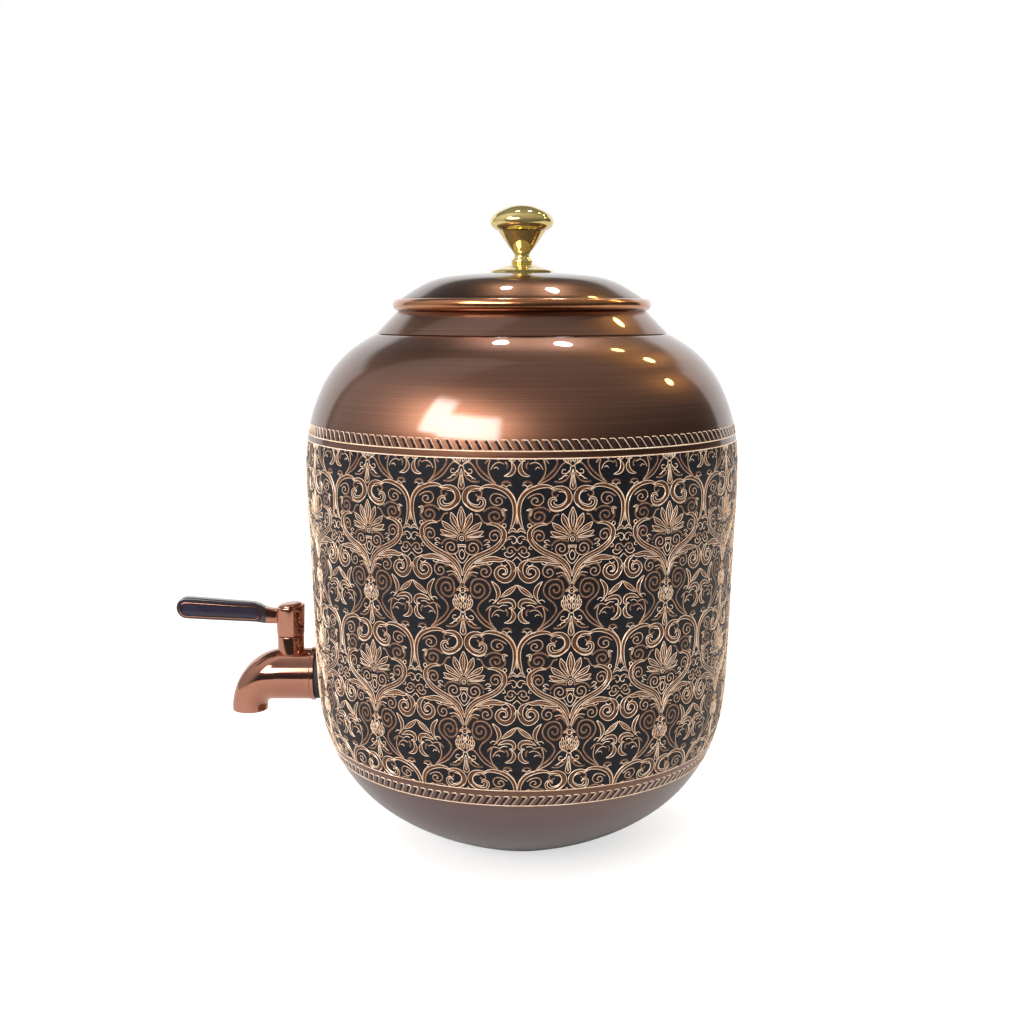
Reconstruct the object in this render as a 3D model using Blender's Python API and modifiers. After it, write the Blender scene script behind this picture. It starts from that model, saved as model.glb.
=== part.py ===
"""Copper water dispenser pot: a spun copper vessel with a brazed collar, a lift-off lid with
a brass knob, and a plated quarter-turn lever tap fixed through the wall.

Frame: metres, +Z up, origin at the centre of the base, tap pointing along -X.
"""
import bpy
import bmesh
import numpy as np
from math import atan2, cos, pi, radians, sin
from mathutils import Vector

MM = 0.001
GAP = 0.3                      # clearance between touching pieces, mm

# ---------------------------------------------------------------- driving dimensions, mm
# Vessel: outer radius and height, from the edge of the flat base to the neck crease.
VESSEL_OUTLINE = [
    (36.8, 0.0), (54.2, 7.8), (72.4, 18.4), (87.2, 31.5), (97.6, 47.1), (104.0, 65.4),
    (107.0, 94.3), (108.2, 130.9), (109.4, 167.5), (110.0, 199.0), (107.4, 219.9),
    (101.5, 235.7), (94.7, 246.3), (85.2, 255.4), (74.1, 262.1),
]
VESSEL_WALL = 1.2
SHELL_STEPS = 48
OUTLINE_SPANS = 16
DOME_SPANS = 5
BEAD_SPANS = 9
KNOB_SPANS = 8

# Collar: a cone brazed over the shell's lip, with a flat rim and a turned-down skirt.
COLLAR_FOOT_R = 73.8
COLLAR_FOOT_Z = 262.4
COLLAR_TOP_R = 62.9
RIM_Z = 273.6
COLLAR_WALL = 1.2
MOUTH_R = 54.6
SKIRT_Z = 266.0
LIP_TOP_Z = 266.0

# Lid: a dome with a wired bead round its edge.
LID_WALL = 1.0
LID_FLAT_R = 17.0
LID_OUTLINE = [(17.0, 292.7), (30.0, 291.6), (44.9, 288.9), (54.2, 284.3), (60.2, 280.4)]
BEAD_R = 2.6
BEAD_CENTRE_R = 62.35
BEAD_CENTRE_Z = RIM_Z + 0.45 + BEAD_R
LOCATING_RING_R = 54.0
LOCATING_RING_TOP = 282.5
LOCATING_RING_FOOT = 266.5
KNOB_HOLE_R = 2.35

# Knob: heights above the lid's flat.
KNOB_Z = 292.7 + GAP
KNOB_BASE_R = 15.8
KNOB_TOP = 33.3
KNOB_SEAM = 20.4
KNOB_RING_TOP = 6.6
KNOB_CONE = [(4.3, KNOB_RING_TOP + GAP), (3.8, 8.0), (5.6, 11.4), (9.2, 16.4), (11.9, KNOB_SEAM)]
KNOB_HEAD = [
    (0.0, KNOB_TOP), (5.4, 32.7), (10.9, 30.6), (14.8, 27.8), (16.0, 25.1), (15.2, 22.8),
    (12.5, KNOB_SEAM + GAP),
]
KNOB_SOCKET_R = 2.05
KNOB_SOCKET_TOP = 14.0

# Tap: stem axis, barrel axis and spout outlet.
STEM_X = -121.8
BARREL_Z = 83.6
BARREL_R = 13.5
FACE_X = -109.4                # the tap's sealing face
SHANK_R = 10.0
SHANK_END_X = -88.0
WATERWAY_R = 5.0
CHAMBER_R = 5.5
CHAMBER_FLOOR = 75.5
PLUG_R = CHAMBER_R - GAP
PLUG_PORT_R = 3.3
NUT_CORNER_R = 15.6
BONNET_R = 6.9
BONNET_TOP = 104.3
BONNET_FOOT = 90.6
STEM_R = 2.8
STEM_HOLE_R = STEM_R + GAP
STEM_TOP = 113.9
SEAL_R = 4.3
SEAL_TOP = 94.4
PLUG_TOP = 89.0
# Spout centre line as (x, z, radius), from the barrel to the outlet.
SPOUT_PATH = [
    (-124.0, 83.6, 11.0), (-128.2, 83.6, 13.2), (-131.6, 83.3, 13.2), (-134.8, 82.3, 12.7),
    (-139.3, 78.9, 11.2), (-142.4, 74.2, 10.0), (-143.8, 69.3, 9.3), (-143.9, 65.0, 9.0),
]
BORE_PATH = [
    (-128.0, 83.6, 4.6), (-133.0, 83.2, 4.8), (-137.6, 80.8, 5.2), (-141.0, 76.4, 5.8),
    (-143.2, 70.5, 6.4), (-143.9, 62.0, 6.8),
]

# Lever: hub on the stem, neck, and a paddle standing on edge; x measured from the stem.
HUB_R = 7.6
HUB_FOOT_R = 7.2
HUB_FOOT = 104.6
HUB_TOP = 120.2
HUB_TILT = radians(7.0)
LEVER_HALF = 3.0               # half the paddle's thickness
LEVER_EDGE = 0.8               # rounding of its edges
TIP_X = -53.9                  # centre of the rounded tip
TIP_Z = 119.3
TIP_R = 5.65
GRIP_DEPTH = 0.9
GRIP_TIP_R = 4.0
GRIP_TIP_Z = 118.6
GRIP_CORNER_R = 2.3
GRIP_CORNER_X = -18.2
SCREW_HOLE_R = 1.7
HEAD_FLOOR = STEM_TOP + 1.8

COPPER_BROWN = ("antique_copper", (0.16, 0.07, 0.04), 0.32, 1.0)
COPPER_BRIGHT = ("polished_copper", (0.62, 0.25, 0.13), 0.22, 1.0)
COPPER_ROSE = ("rose_copper_plate", (0.72, 0.36, 0.26), 0.12, 1.0)
BRASS = ("polished_brass", (0.78, 0.60, 0.22), 0.14, 1.0)
GRIP = ("grip_enamel", (0.015, 0.01, 0.02), 0.35, 0.0)
RUBBER = ("black_rubber", (0.02, 0.02, 0.02), 0.7, 0.0)
PTFE = ("white_ptfe", (0.85, 0.85, 0.83), 0.5, 0.0)
STEEL = ("plain_steel", (0.55, 0.55, 0.56), 0.35, 1.0)


# ---------------------------------------------------------------- scene and materials
def empty_scene():
    for old in list(bpy.data.objects):
        bpy.data.objects.remove(old, do_unlink=True)


def new_collection(name):
    collection = bpy.data.collections.new(name)
    bpy.context.scene.collection.children.link(collection)
    return collection


def finish_of(spec):
    name, colour, roughness, metallic = spec
    found = bpy.data.materials.get(name)
    if found:
        return found
    made = bpy.data.materials.new(name)
    made.use_nodes = True
    shader = made.node_tree.nodes["Principled BSDF"]
    shader.inputs["Base Color"].default_value = (*colour, 1.0)
    shader.inputs["Roughness"].default_value = roughness
    shader.inputs["Metallic"].default_value = metallic
    return made


empty_scene()
PARTS = new_collection("copper_water_dispenser")
CUTTERS = new_collection("cutters")


def place(name, mesh, spec, at, turn, parent):
    """Make an object for a piece, or for a cutter when spec is None."""
    thing = bpy.data.objects.new(name, mesh)
    thing.location = Vector(at) * MM
    thing.rotation_euler = turn
    if spec is None:
        CUTTERS.objects.link(thing)
        thing.hide_render = True
        thing.display_type = "WIRE"
    else:
        PARTS.objects.link(thing)
        mesh.materials.append(finish_of(spec))
    if parent:
        thing.parent = parent
    return thing


def pivot(name, x):
    """An empty on a vertical joint axis; the pieces that move with it are its children."""
    empty = bpy.data.objects.new(name, None)
    empty.location = (x * MM, 0.0, 0.0)
    PARTS.objects.link(empty)
    return empty


# ---------------------------------------------------------------- shapes
def spline(points, spans):
    """Natural cubic curve through the points, read at spans + 1 even steps."""
    knots = np.array(points, float)
    chords = np.hypot(*np.diff(knots, axis=0).T)
    at = np.concatenate([[0.0], np.cumsum(chords)])
    count = len(at)
    system = np.eye(count)
    right = np.zeros((count, 2))
    for i in range(1, count - 1):
        system[i, i - 1] = chords[i - 1]
        system[i, i] = 2.0 * (chords[i - 1] + chords[i])
        system[i, i + 1] = chords[i]
        rise = (knots[i + 1] - knots[i]) / chords[i]
        fall = (knots[i] - knots[i - 1]) / chords[i - 1]
        right[i] = 6.0 * (rise - fall)
    bend = np.linalg.solve(system, right)
    made = []
    for t in np.linspace(0.0, at[-1], spans + 1):
        i = min(int(np.searchsorted(at, t, side="right")) - 1, count - 2)
        a, b, h = at[i + 1] - t, t - at[i], chords[i]
        cubic = bend[i] * a ** 3 / (6 * h) + bend[i + 1] * b ** 3 / (6 * h)
        start = knots[i] / h - bend[i] * h / 6
        end = knots[i + 1] / h - bend[i + 1] * h / 6
        made.append(tuple(cubic + start * a + end * b))
    return made


def moved_off(outline, distance):
    """The outline moved sideways by distance, to the left of its direction of travel."""
    pts = np.array(outline)
    along = np.gradient(pts, axis=0)
    along /= np.hypot(*along.T)[:, None]
    side = np.stack([-along[:, 1], along[:, 0]], axis=1)
    return [tuple(p) for p in pts + distance * side]


def arc(centre, radius, start, end, spans):
    """Points on a circle in the profile plane; angles in degrees from +radius towards +Z."""
    made = []
    for i in range(spans + 1):
        angle = radians(start + (end - start) * i / spans)
        made.append((centre[0] + radius * cos(angle), centre[1] + radius * sin(angle)))
    return made


def turned(name, outline, spec=None, steps=24, closed=False, at=(0, 0, 0), turn=(0, 0, 0),
           parent=None):
    """A turned piece: (radius, height) points in mm, down the outer side, round the Z axis."""
    mesh = bpy.data.meshes.new(name)
    edges = [(i, i + 1) for i in range(len(outline) - 1)]
    if closed:
        edges.append((len(outline) - 1, 0))
    mesh.from_pydata([(r * MM, 0.0, z * MM) for r, z in outline], edges, [])
    thing = place(name, mesh, spec, at, turn, parent)
    screw = thing.modifiers.new("Screw", "SCREW")
    screw.steps = steps
    screw.render_steps = steps
    screw.use_merge_vertices = True
    screw.merge_threshold = 0.00001
    screw.use_smooth_shade = spec is not None
    return thing


def tube(name, inner, outer, low, high, spec, **where):
    """A plain ring with square edges."""
    outline = [(inner, high), (outer, high), (outer, low), (inner, low)]
    return turned(name, outline, spec, closed=True, **where)


def rod(name, radius, low, high, spec=None, **where):
    """A plain round bar."""
    return turned(name, [(0, high), (radius, high), (radius, low), (0, low)], spec, **where)


def block(name, size, centre, spec=None, parent=None):
    mesh = bpy.data.meshes.new(name)
    cage = bmesh.new()
    bmesh.ops.create_cube(cage, size=1.0)
    bmesh.ops.scale(cage, vec=Vector(size) * MM, verts=cage.verts)
    cage.to_mesh(mesh)
    cage.free()
    return place(name, mesh, spec, centre, (0, 0, 0), parent)


def as_mesh(thing, name, spec, parent=None):
    """Turn a curve object into a welded mesh piece that a Boolean can use."""
    view = bpy.context.evaluated_depsgraph_get()
    view.update()
    mesh = bpy.data.meshes.new_from_object(thing.evaluated_get(view))
    cage = bmesh.new()
    cage.from_mesh(mesh)
    bmesh.ops.remove_doubles(cage, verts=cage.verts, dist=0.000005)
    bmesh.ops.recalc_face_normals(cage, faces=cage.faces)
    cage.to_mesh(mesh)
    cage.free()
    mesh.materials.clear()
    mesh.name = name
    made = place(name, mesh, spec, (0, 0, 0), (0, 0, 0), parent)
    made.matrix_world = thing.matrix_world
    bpy.data.objects.remove(thing, do_unlink=True)
    return made


def swept(name, path, spec=None, resolution=4):
    """A round bar along (x, z, radius) points in the plane y = 0."""
    curve = bpy.data.curves.new(name, "CURVE")
    curve.dimensions = "3D"
    curve.bevel_depth = MM
    curve.bevel_resolution = resolution
    curve.use_fill_caps = True
    line = curve.splines.new("POLY")
    line.points.add(len(path) - 1)
    for point, (x, z, radius) in zip(line.points, path):
        point.co = (x * MM, 0.0, z * MM, 1.0)
        point.radius = radius
    thing = bpy.data.objects.new(name + "_curve", curve)
    CUTTERS.objects.link(thing)
    return as_mesh(thing, name, spec)


def plate(name, outline, half, edge=0.0, spec=None, y=0.0, parent=None):
    """A flat plate standing in the XZ plane, centred on y, with edges rounded by edge."""
    curve = bpy.data.curves.new(name, "CURVE")
    curve.dimensions = "2D"
    curve.fill_mode = "BOTH"
    curve.extrude = half * MM
    line = curve.splines.new("POLY")
    line.points.add(len(outline) - 1)
    for point, (x, z) in zip(line.points, outline):
        point.co = (x * MM, z * MM, 0.0, 1.0)
    line.use_cyclic_u = True
    thing = bpy.data.objects.new(name + "_curve", curve)
    thing.location = (0.0, y * MM, 0.0)
    thing.rotation_euler = (pi / 2, 0.0, 0.0)
    CUTTERS.objects.link(thing)
    bpy.context.view_layer.update()
    made = as_mesh(thing, name, spec)
    made.parent = parent
    if edge:
        rounding = made.modifiers.new("Bevel", "BEVEL")
        rounding.width = edge * MM
        rounding.segments = 2
        rounding.limit_method = "ANGLE"
        rounding.angle_limit = radians(60)
    return made


def boolean(target, tool, operation):
    step = target.modifiers.new(operation.title() + "_" + tool.name, "BOOLEAN")
    step.operation = operation
    step.object = tool
    step.solver = "EXACT"


def cut(target, *tools):
    for tool in tools:
        boolean(target, tool, "DIFFERENCE")


def join(target, *tools):
    for tool in tools:
        boolean(target, tool, "UNION")


ALONG_TAP = (0.0, -pi / 2, 0.0)          # turns a shape's +Z to -X


def on_tap(x_low, x_high):
    """Heights along the tap's axis for a turned shape laid along -X from the pot's axis."""
    return -x_high, -x_low


# ---------------------------------------------------------------- vessel
body_line = spline(VESSEL_OUTLINE, OUTLINE_SPANS)
inner_line = moved_off(body_line, VESSEL_WALL)
inner_line = [(r, z) for r, z in inner_line if z > VESSEL_WALL]
cone_run = (COLLAR_FOOT_R - COLLAR_TOP_R) / (RIM_Z - COLLAR_FOOT_Z)
collar_inner_foot = COLLAR_FOOT_R - 1.3 * COLLAR_WALL
lip_foot_r = collar_inner_foot - 1.5 * GAP
lip_top_r = lip_foot_r - (LIP_TOP_Z - COLLAR_FOOT_Z) * cone_run
lip = [
    (lip_foot_r - VESSEL_WALL, COLLAR_FOOT_Z - GAP),
    (lip_top_r - VESSEL_WALL, LIP_TOP_Z),
    (lip_top_r, LIP_TOP_Z),
    (lip_foot_r, COLLAR_FOOT_Z - GAP),
]
base_inner = (inner_line[0][0] - 2.0, VESSEL_WALL)
shell_line = [(0, VESSEL_WALL), base_inner] + inner_line[:-1] + lip + body_line[::-1] + [(0, 0)]
vessel_shell = turned("vessel_shell", shell_line, COPPER_BROWN, steps=SHELL_STEPS)

hole_low, hole_high = on_tap(-120.0, -90.0)
tap_hole = rod("tap_hole", SHANK_R + 0.4, hole_low, hole_high, at=(0, 0, BARREL_Z),
               turn=ALONG_TAP)
cut(vessel_shell, tap_hole)

collar_line = [
    (MOUTH_R, RIM_Z), (COLLAR_TOP_R - 0.5, RIM_Z), (COLLAR_TOP_R, RIM_Z - 0.5),
    (COLLAR_FOOT_R, COLLAR_FOOT_Z), (collar_inner_foot, COLLAR_FOOT_Z),
    (COLLAR_TOP_R - 0.7 * COLLAR_WALL, RIM_Z - COLLAR_WALL),
    (MOUTH_R + COLLAR_WALL, RIM_Z - COLLAR_WALL), (MOUTH_R + COLLAR_WALL, SKIRT_Z),
    (MOUTH_R, SKIRT_Z),
]
turned("neck_collar", collar_line, COPPER_BROWN, steps=SHELL_STEPS, closed=True)


# ---------------------------------------------------------------- tap fixings
def gasket(name, low, high, outer, wall_offset, keep_inside):
    """A soft ring whose face follows the vessel's wall."""
    ring = tube(name, SHANK_R + 0.4, outer, low, high, RUBBER, at=(0, 0, BARREL_Z),
                turn=ALONG_TAP)
    wall = [p for p in moved_off(body_line, wall_offset)[::-1] if p[1] < 150.0]
    former = turned(name + "_former", [(0, 150.0)] + wall + [(0, 5.0)], steps=SHELL_STEPS)
    boolean(ring, former, "INTERSECT" if keep_inside else "DIFFERENCE")
    return ring


gasket_low, gasket_high = on_tap(FACE_X + GAP, -104.0)
gasket("tap_gasket_outer", gasket_low, gasket_high, 13.2, -GAP, False)
gasket_low, gasket_high = on_tap(-108.0, -102.4)
gasket("tap_gasket_inner", gasket_low, gasket_high, 14.0, VESSEL_WALL + GAP, True)
washer_low, washer_high = on_tap(-102.1, -100.7)
tube("tap_washer", SHANK_R + 0.4, 14.0, washer_low, washer_high, STEEL,
     at=(0, 0, BARREL_Z), turn=ALONG_TAP)

nut_low, nut_high = on_tap(-100.4, -93.4)
lock_nut = rod("tap_lock_nut", NUT_CORNER_R, nut_low, nut_high, BRASS, steps=6,
               at=(0, 0, BARREL_Z), turn=ALONG_TAP)
nut_hole = rod("nut_hole", SHANK_R + 0.4, nut_low - 1.0, nut_high + 1.0, at=(0, 0, BARREL_Z),
               turn=ALONG_TAP)
cut(lock_nut, nut_hole)


# ---------------------------------------------------------------- tap body
barrel_low, barrel_high = on_tap(-129.0, FACE_X)
barrel_line = [
    (0, barrel_high), (BARREL_R, barrel_high), (BARREL_R, barrel_low + 2.4),
    (BARREL_R + 0.3, barrel_low + 2.0), (BARREL_R + 0.3, barrel_low + 0.4),
    (BARREL_R, barrel_low), (SHANK_R, barrel_low), (SHANK_R, -SHANK_END_X), (0, -SHANK_END_X),
]
tap_body = turned("tap_body", barrel_line, COPPER_ROSE, steps=32, at=(0, 0, BARREL_Z),
                  turn=ALONG_TAP)
spout = swept("tap_spout_form", SPOUT_PATH, resolution=6)
join(tap_body, spout)

way_low, way_high = on_tap(-130.5, SHANK_END_X + 2.0)
waterway = rod("tap_waterway", WATERWAY_R, way_low, way_high, steps=20,
               at=(0, 0, BARREL_Z), turn=ALONG_TAP)
spout_bore = swept("tap_spout_bore", BORE_PATH, resolution=2)
chamber = rod("tap_chamber", CHAMBER_R, CHAMBER_FLOOR, 110.0, steps=24, at=(STEM_X, 0, 0))
cut(tap_body, waterway, spout_bore, chamber)

# Bonnet: a tube whose foot is saddled over the barrel, with a spigot down into the chamber.
bonnet_line = [
    (STEM_HOLE_R, BONNET_TOP), (BONNET_R - 0.4, BONNET_TOP), (BONNET_R, BONNET_TOP - 0.4),
    (BONNET_R, 93.0), (STEM_HOLE_R, 93.0),
]
tap_bonnet = turned("tap_bonnet", bonnet_line, COPPER_ROSE, closed=True, at=(STEM_X, 0, 0))
saddle_low, saddle_high = on_tap(-135.0, -105.0)
saddle = rod("bonnet_saddle", BARREL_R + GAP, saddle_low, saddle_high, steps=32,
             at=(0, 0, BARREL_Z), turn=ALONG_TAP)
cut(tap_bonnet, saddle)
spigot_line = [
    (STEM_HOLE_R, 99.0), (PLUG_R, 99.0), (PLUG_R, BONNET_FOOT), (SEAL_R, BONNET_FOOT),
    (SEAL_R, SEAL_TOP), (STEM_HOLE_R, SEAL_TOP),
]
spigot = turned("bonnet_spigot", spigot_line, closed=True, at=(STEM_X, 0, 0))
join(tap_bonnet, spigot)
tube("stem_packing", STEM_HOLE_R, SEAL_R - GAP, BONNET_FOOT + 0.2, SEAL_TOP - GAP, RUBBER,
     at=(STEM_X, 0, 0))


def valve_seat(name, low, high):
    """A seat ring in the waterway, its face hollowed to the plug's chamber."""
    x_low, x_high = on_tap(low, high)
    seat = tube(name, PLUG_PORT_R, WATERWAY_R - GAP, x_low, x_high, PTFE,
                at=(0, 0, BARREL_Z), turn=ALONG_TAP)
    cut(seat, chamber)
    return seat


valve_seat("valve_seat_inlet", STEM_X + 1.0, STEM_X + 8.4)
valve_seat("valve_seat_outlet", STEM_X - 8.0, STEM_X - 1.0)


# ---------------------------------------------------------------- lever, stem and plug
lever_axis = pivot("lever_axis", STEM_X)
plug_line = [
    (0, PLUG_TOP), (PLUG_R, PLUG_TOP), (PLUG_R, CHAMBER_FLOOR + GAP), (0, CHAMBER_FLOOR + GAP),
]
valve_plug = turned("valve_plug", plug_line, BRASS, parent=lever_axis)
port = rod("plug_port", PLUG_PORT_R, -10.0, 10.0, steps=20, at=(0, 0, BARREL_Z),
           turn=(pi / 2, 0, 0), parent=lever_axis)
slot = block("plug_slot", (6.6, 2.6, 4.0), (0, 0, PLUG_TOP), parent=lever_axis)
cut(valve_plug, port, slot)

stem_line = [
    (0, STEM_TOP - 6.5), (SCREW_HOLE_R, STEM_TOP - 6.5), (SCREW_HOLE_R, STEM_TOP),
    (STEM_R, STEM_TOP), (STEM_R, PLUG_TOP + GAP), (0, PLUG_TOP + GAP),
]
valve_stem = turned("valve_stem", stem_line, BRASS, parent=lever_axis)
tang = block("stem_tang", (5.2, 2.0, 2.0), (0, 0, PLUG_TOP), parent=lever_axis)
join(valve_stem, tang)

hub_mesh = bpy.data.meshes.new("lever_handle")
hub_cage = bmesh.new()
bmesh.ops.create_cone(hub_cage, cap_ends=True, segments=32, radius1=HUB_FOOT_R * MM,
                      radius2=HUB_R * MM, depth=(HUB_TOP - HUB_FOOT) * MM)
for vertex in hub_cage.verts:
    if vertex.co.z > 0:
        vertex.co.z += vertex.co.x * sin(HUB_TILT)
    vertex.co.z += (HUB_TOP + HUB_FOOT) / 2 * MM
hub_cage.to_mesh(hub_mesh)
hub_cage.free()
hub_mesh.shade_smooth()
hub_mesh.set_sharp_from_angle(angle=radians(35))
lever_handle = place("lever_handle", hub_mesh, COPPER_ROSE, (0, 0, 0), (0, 0, 0), lever_axis)

paddle_line = (
    [(-4.0, 111.0), (-13.6, 111.25), (-17.8, 111.9), (TIP_X + 2.4, 113.5)]
    + arc((TIP_X, TIP_Z), TIP_R, 262, 98, 10)
    + [(TIP_X + 2.4, 124.8), (-19.0, 122.25), (-17.0, 121.7), (-15.0, 120.8), (-12.7, 119.6),
       (-10.0, 118.9), (-4.3, 118.6)]
)
paddle = plate("lever_paddle_form", paddle_line, LEVER_HALF, LEVER_EDGE, parent=lever_axis)
join(lever_handle, paddle)

grip_line = (
    arc((TIP_X, GRIP_TIP_Z), GRIP_TIP_R, 262, 98, 8)
    + arc((GRIP_CORNER_X, 117.8), GRIP_CORNER_R, 85, 5, 4)
    + arc((GRIP_CORNER_X, 115.3), GRIP_CORNER_R, -5, -85, 4)
)
for side, name in ((-1, "front"), (1, "back")):
    recess = plate("grip_recess_" + name, grip_line, 1.0, spec=None,
                   y=side * (LEVER_HALF + 1.0 - GRIP_DEPTH), parent=lever_axis)
    cut(lever_handle, recess)

socket_top = STEM_TOP + GAP
stem_socket = rod("hub_stem_socket", STEM_HOLE_R, HUB_FOOT - 2.0, socket_top, parent=lever_axis)
screw_way = rod("hub_screw_way", SCREW_HOLE_R, socket_top - 1.0, HEAD_FLOOR + 1.0, steps=16,
                parent=lever_axis)
head_way = rod("hub_head_way", 3.4, HEAD_FLOOR, HUB_TOP - 1.0, steps=20, parent=lever_axis)
cap_way = rod("hub_cap_way", 4.7, -2.0, 4.0, steps=24, at=(0, 0, HUB_TOP),
              turn=(0, -HUB_TILT, 0), parent=lever_axis)
cut(lever_handle, stem_socket, screw_way, head_way, cap_way)

# The inlays are the recesses' outline, shrunk about its middle to leave the gap.
inlay_x = [x for x, _ in grip_line]
inlay_z = [z for _, z in grip_line]
middle_x = (min(inlay_x) + max(inlay_x)) / 2
middle_z = (min(inlay_z) + max(inlay_z)) / 2
shrink_x = 1.0 - 2 * GAP / (max(inlay_x) - min(inlay_x))
shrink_z = 1.0 - 2 * GAP / (max(inlay_z) - min(inlay_z))
inlay_line = [
    (middle_x + (x - middle_x) * shrink_x, middle_z + (z - middle_z) * shrink_z)
    for x, z in grip_line
]
for side, name in ((-1, "front"), (1, "back")):
    plate("lever_grip_" + name, inlay_line, (GRIP_DEPTH - GAP) / 2 + 0.1, spec=GRIP,
          y=side * (LEVER_HALF - GRIP_DEPTH / 2 + GAP / 2 + 0.1), parent=lever_axis)

screw_line = [
    (0, HEAD_FLOOR + GAP + 1.8), (2.6, HEAD_FLOOR + GAP + 1.8), (3.0, HEAD_FLOOR + GAP + 1.3),
    (3.0, HEAD_FLOOR + GAP), (1.35, HEAD_FLOOR + GAP), (1.35, STEM_TOP - 6.0), (0, STEM_TOP - 6.0),
]
turned("lever_screw", screw_line, STEEL, steps=16, parent=lever_axis)
cap_line = [
    (0, 1.5), (4.6, 1.45), (5.7, 1.1), (6.1, 0.6), (6.1, GAP), (4.4, GAP), (4.4, -1.5),
    (0, -1.5),
]
turned("lever_cap", cap_line, COPPER_ROSE, at=(0, 0, HUB_TOP), turn=(0, -HUB_TILT, 0),
       parent=lever_axis)


# ---------------------------------------------------------------- lid
lid_axis = pivot("lid_axis", 0.0)
dome = [(KNOB_HOLE_R, LID_OUTLINE[0][1])] + spline(LID_OUTLINE, DOME_SPANS)
dome_under = moved_off(spline(LID_OUTLINE, DOME_SPANS), -LID_WALL)[::-1]
bead = arc((BEAD_CENTRE_R, BEAD_CENTRE_Z), BEAD_R, 105, -190, BEAD_SPANS)
lid_line = dome + bead + dome_under + [(KNOB_HOLE_R, LID_OUTLINE[0][1] - LID_WALL)]
turned("lid_dome", lid_line, COPPER_BRIGHT, steps=SHELL_STEPS, closed=True, parent=lid_axis)
tube("lid_locating_ring", LOCATING_RING_R - 1.0, LOCATING_RING_R, LOCATING_RING_FOOT,
     LOCATING_RING_TOP, COPPER_BRIGHT, steps=SHELL_STEPS, parent=lid_axis)

# Knob: flared base with a ring, waisted cone, and a mushroom cap seated on the cone.
base_line = (
    [(KNOB_HOLE_R, KNOB_RING_TOP), (4.2, KNOB_RING_TOP)]
    + arc((4.0, KNOB_RING_TOP - 1.5), 1.4, 80, -60, 5)
    + [(5.6, 3.4), (8.6, 2.5), (12.4, 1.5), (KNOB_BASE_R - 0.4, 0.9), (KNOB_BASE_R, 0.5),
       (KNOB_BASE_R, 0.0), (KNOB_HOLE_R, 0.0)]
)
turned("knob_base", base_line, BRASS, closed=True, at=(0, 0, KNOB_Z), parent=lid_axis)
stem_side = [(0, KNOB_SEAM + 3.0), (4.0, KNOB_SEAM + 3.0), (4.0, KNOB_SEAM)]
stem_side += spline(KNOB_CONE, KNOB_SPANS)[::-1]
stem_side += [
    (KNOB_SOCKET_R, KNOB_RING_TOP + GAP), (KNOB_SOCKET_R, KNOB_SOCKET_TOP), (0, KNOB_SOCKET_TOP),
]
turned("knob_stem", stem_side, BRASS, at=(0, 0, KNOB_Z), parent=lid_axis)
head_side = spline(KNOB_HEAD, KNOB_SPANS)
head_side[0] = (0.0, KNOB_TOP)
head_side += [(4.3, KNOB_SEAM + GAP), (4.3, KNOB_SEAM + 3.3), (0, KNOB_SEAM + 3.3)]
turned("knob_cap", head_side, BRASS, at=(0, 0, KNOB_Z), parent=lid_axis)

# The knob is held by a screw from inside the lid, over a washer.
under_lid = LID_OUTLINE[0][1] - LID_WALL
washer_top = under_lid - GAP
tube("knob_washer", KNOB_HOLE_R, 6.0, washer_top - 1.0, washer_top, STEEL, parent=lid_axis)
head_top = washer_top - 1.0 - GAP
screw_end = KNOB_Z + KNOB_SOCKET_TOP - 0.6
knob_screw_line = [
    (0, screw_end), (KNOB_SOCKET_R - GAP, screw_end), (KNOB_SOCKET_R - GAP, head_top),
    (3.8, head_top), (3.8, head_top - 1.6), (2.6, head_top - 2.6), (0, head_top - 2.6),
]
turned("knob_screw", knob_screw_line, STEEL, steps=20, parent=lid_axis)
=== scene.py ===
"""Looks for the copper water dispenser pot: fine turned copper, an etched scroll band, a plated
lever tap and a brass knob, on a pale floor in soft studio light. Lengths are in millimetres
until a mesh is made; angles round the pot run from the front (-Y) towards +X.
"""
from math import atan2, cos, pi, radians, sin

import bmesh
import bpy
import numpy as np
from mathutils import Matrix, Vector


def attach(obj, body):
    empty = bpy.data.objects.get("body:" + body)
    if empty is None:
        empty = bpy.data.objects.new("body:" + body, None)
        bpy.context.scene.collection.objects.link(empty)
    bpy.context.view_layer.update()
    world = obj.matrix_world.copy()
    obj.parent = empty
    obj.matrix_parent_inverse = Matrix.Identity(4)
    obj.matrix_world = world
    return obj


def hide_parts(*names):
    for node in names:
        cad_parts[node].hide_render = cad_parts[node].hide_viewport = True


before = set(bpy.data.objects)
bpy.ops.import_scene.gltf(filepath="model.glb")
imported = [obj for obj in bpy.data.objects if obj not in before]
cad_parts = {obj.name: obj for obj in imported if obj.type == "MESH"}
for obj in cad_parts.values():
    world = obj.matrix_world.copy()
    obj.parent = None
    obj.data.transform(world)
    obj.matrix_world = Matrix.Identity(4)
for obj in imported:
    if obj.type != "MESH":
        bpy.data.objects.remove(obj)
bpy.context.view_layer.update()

MM = 0.001
SCENE = bpy.context.scene


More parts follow.
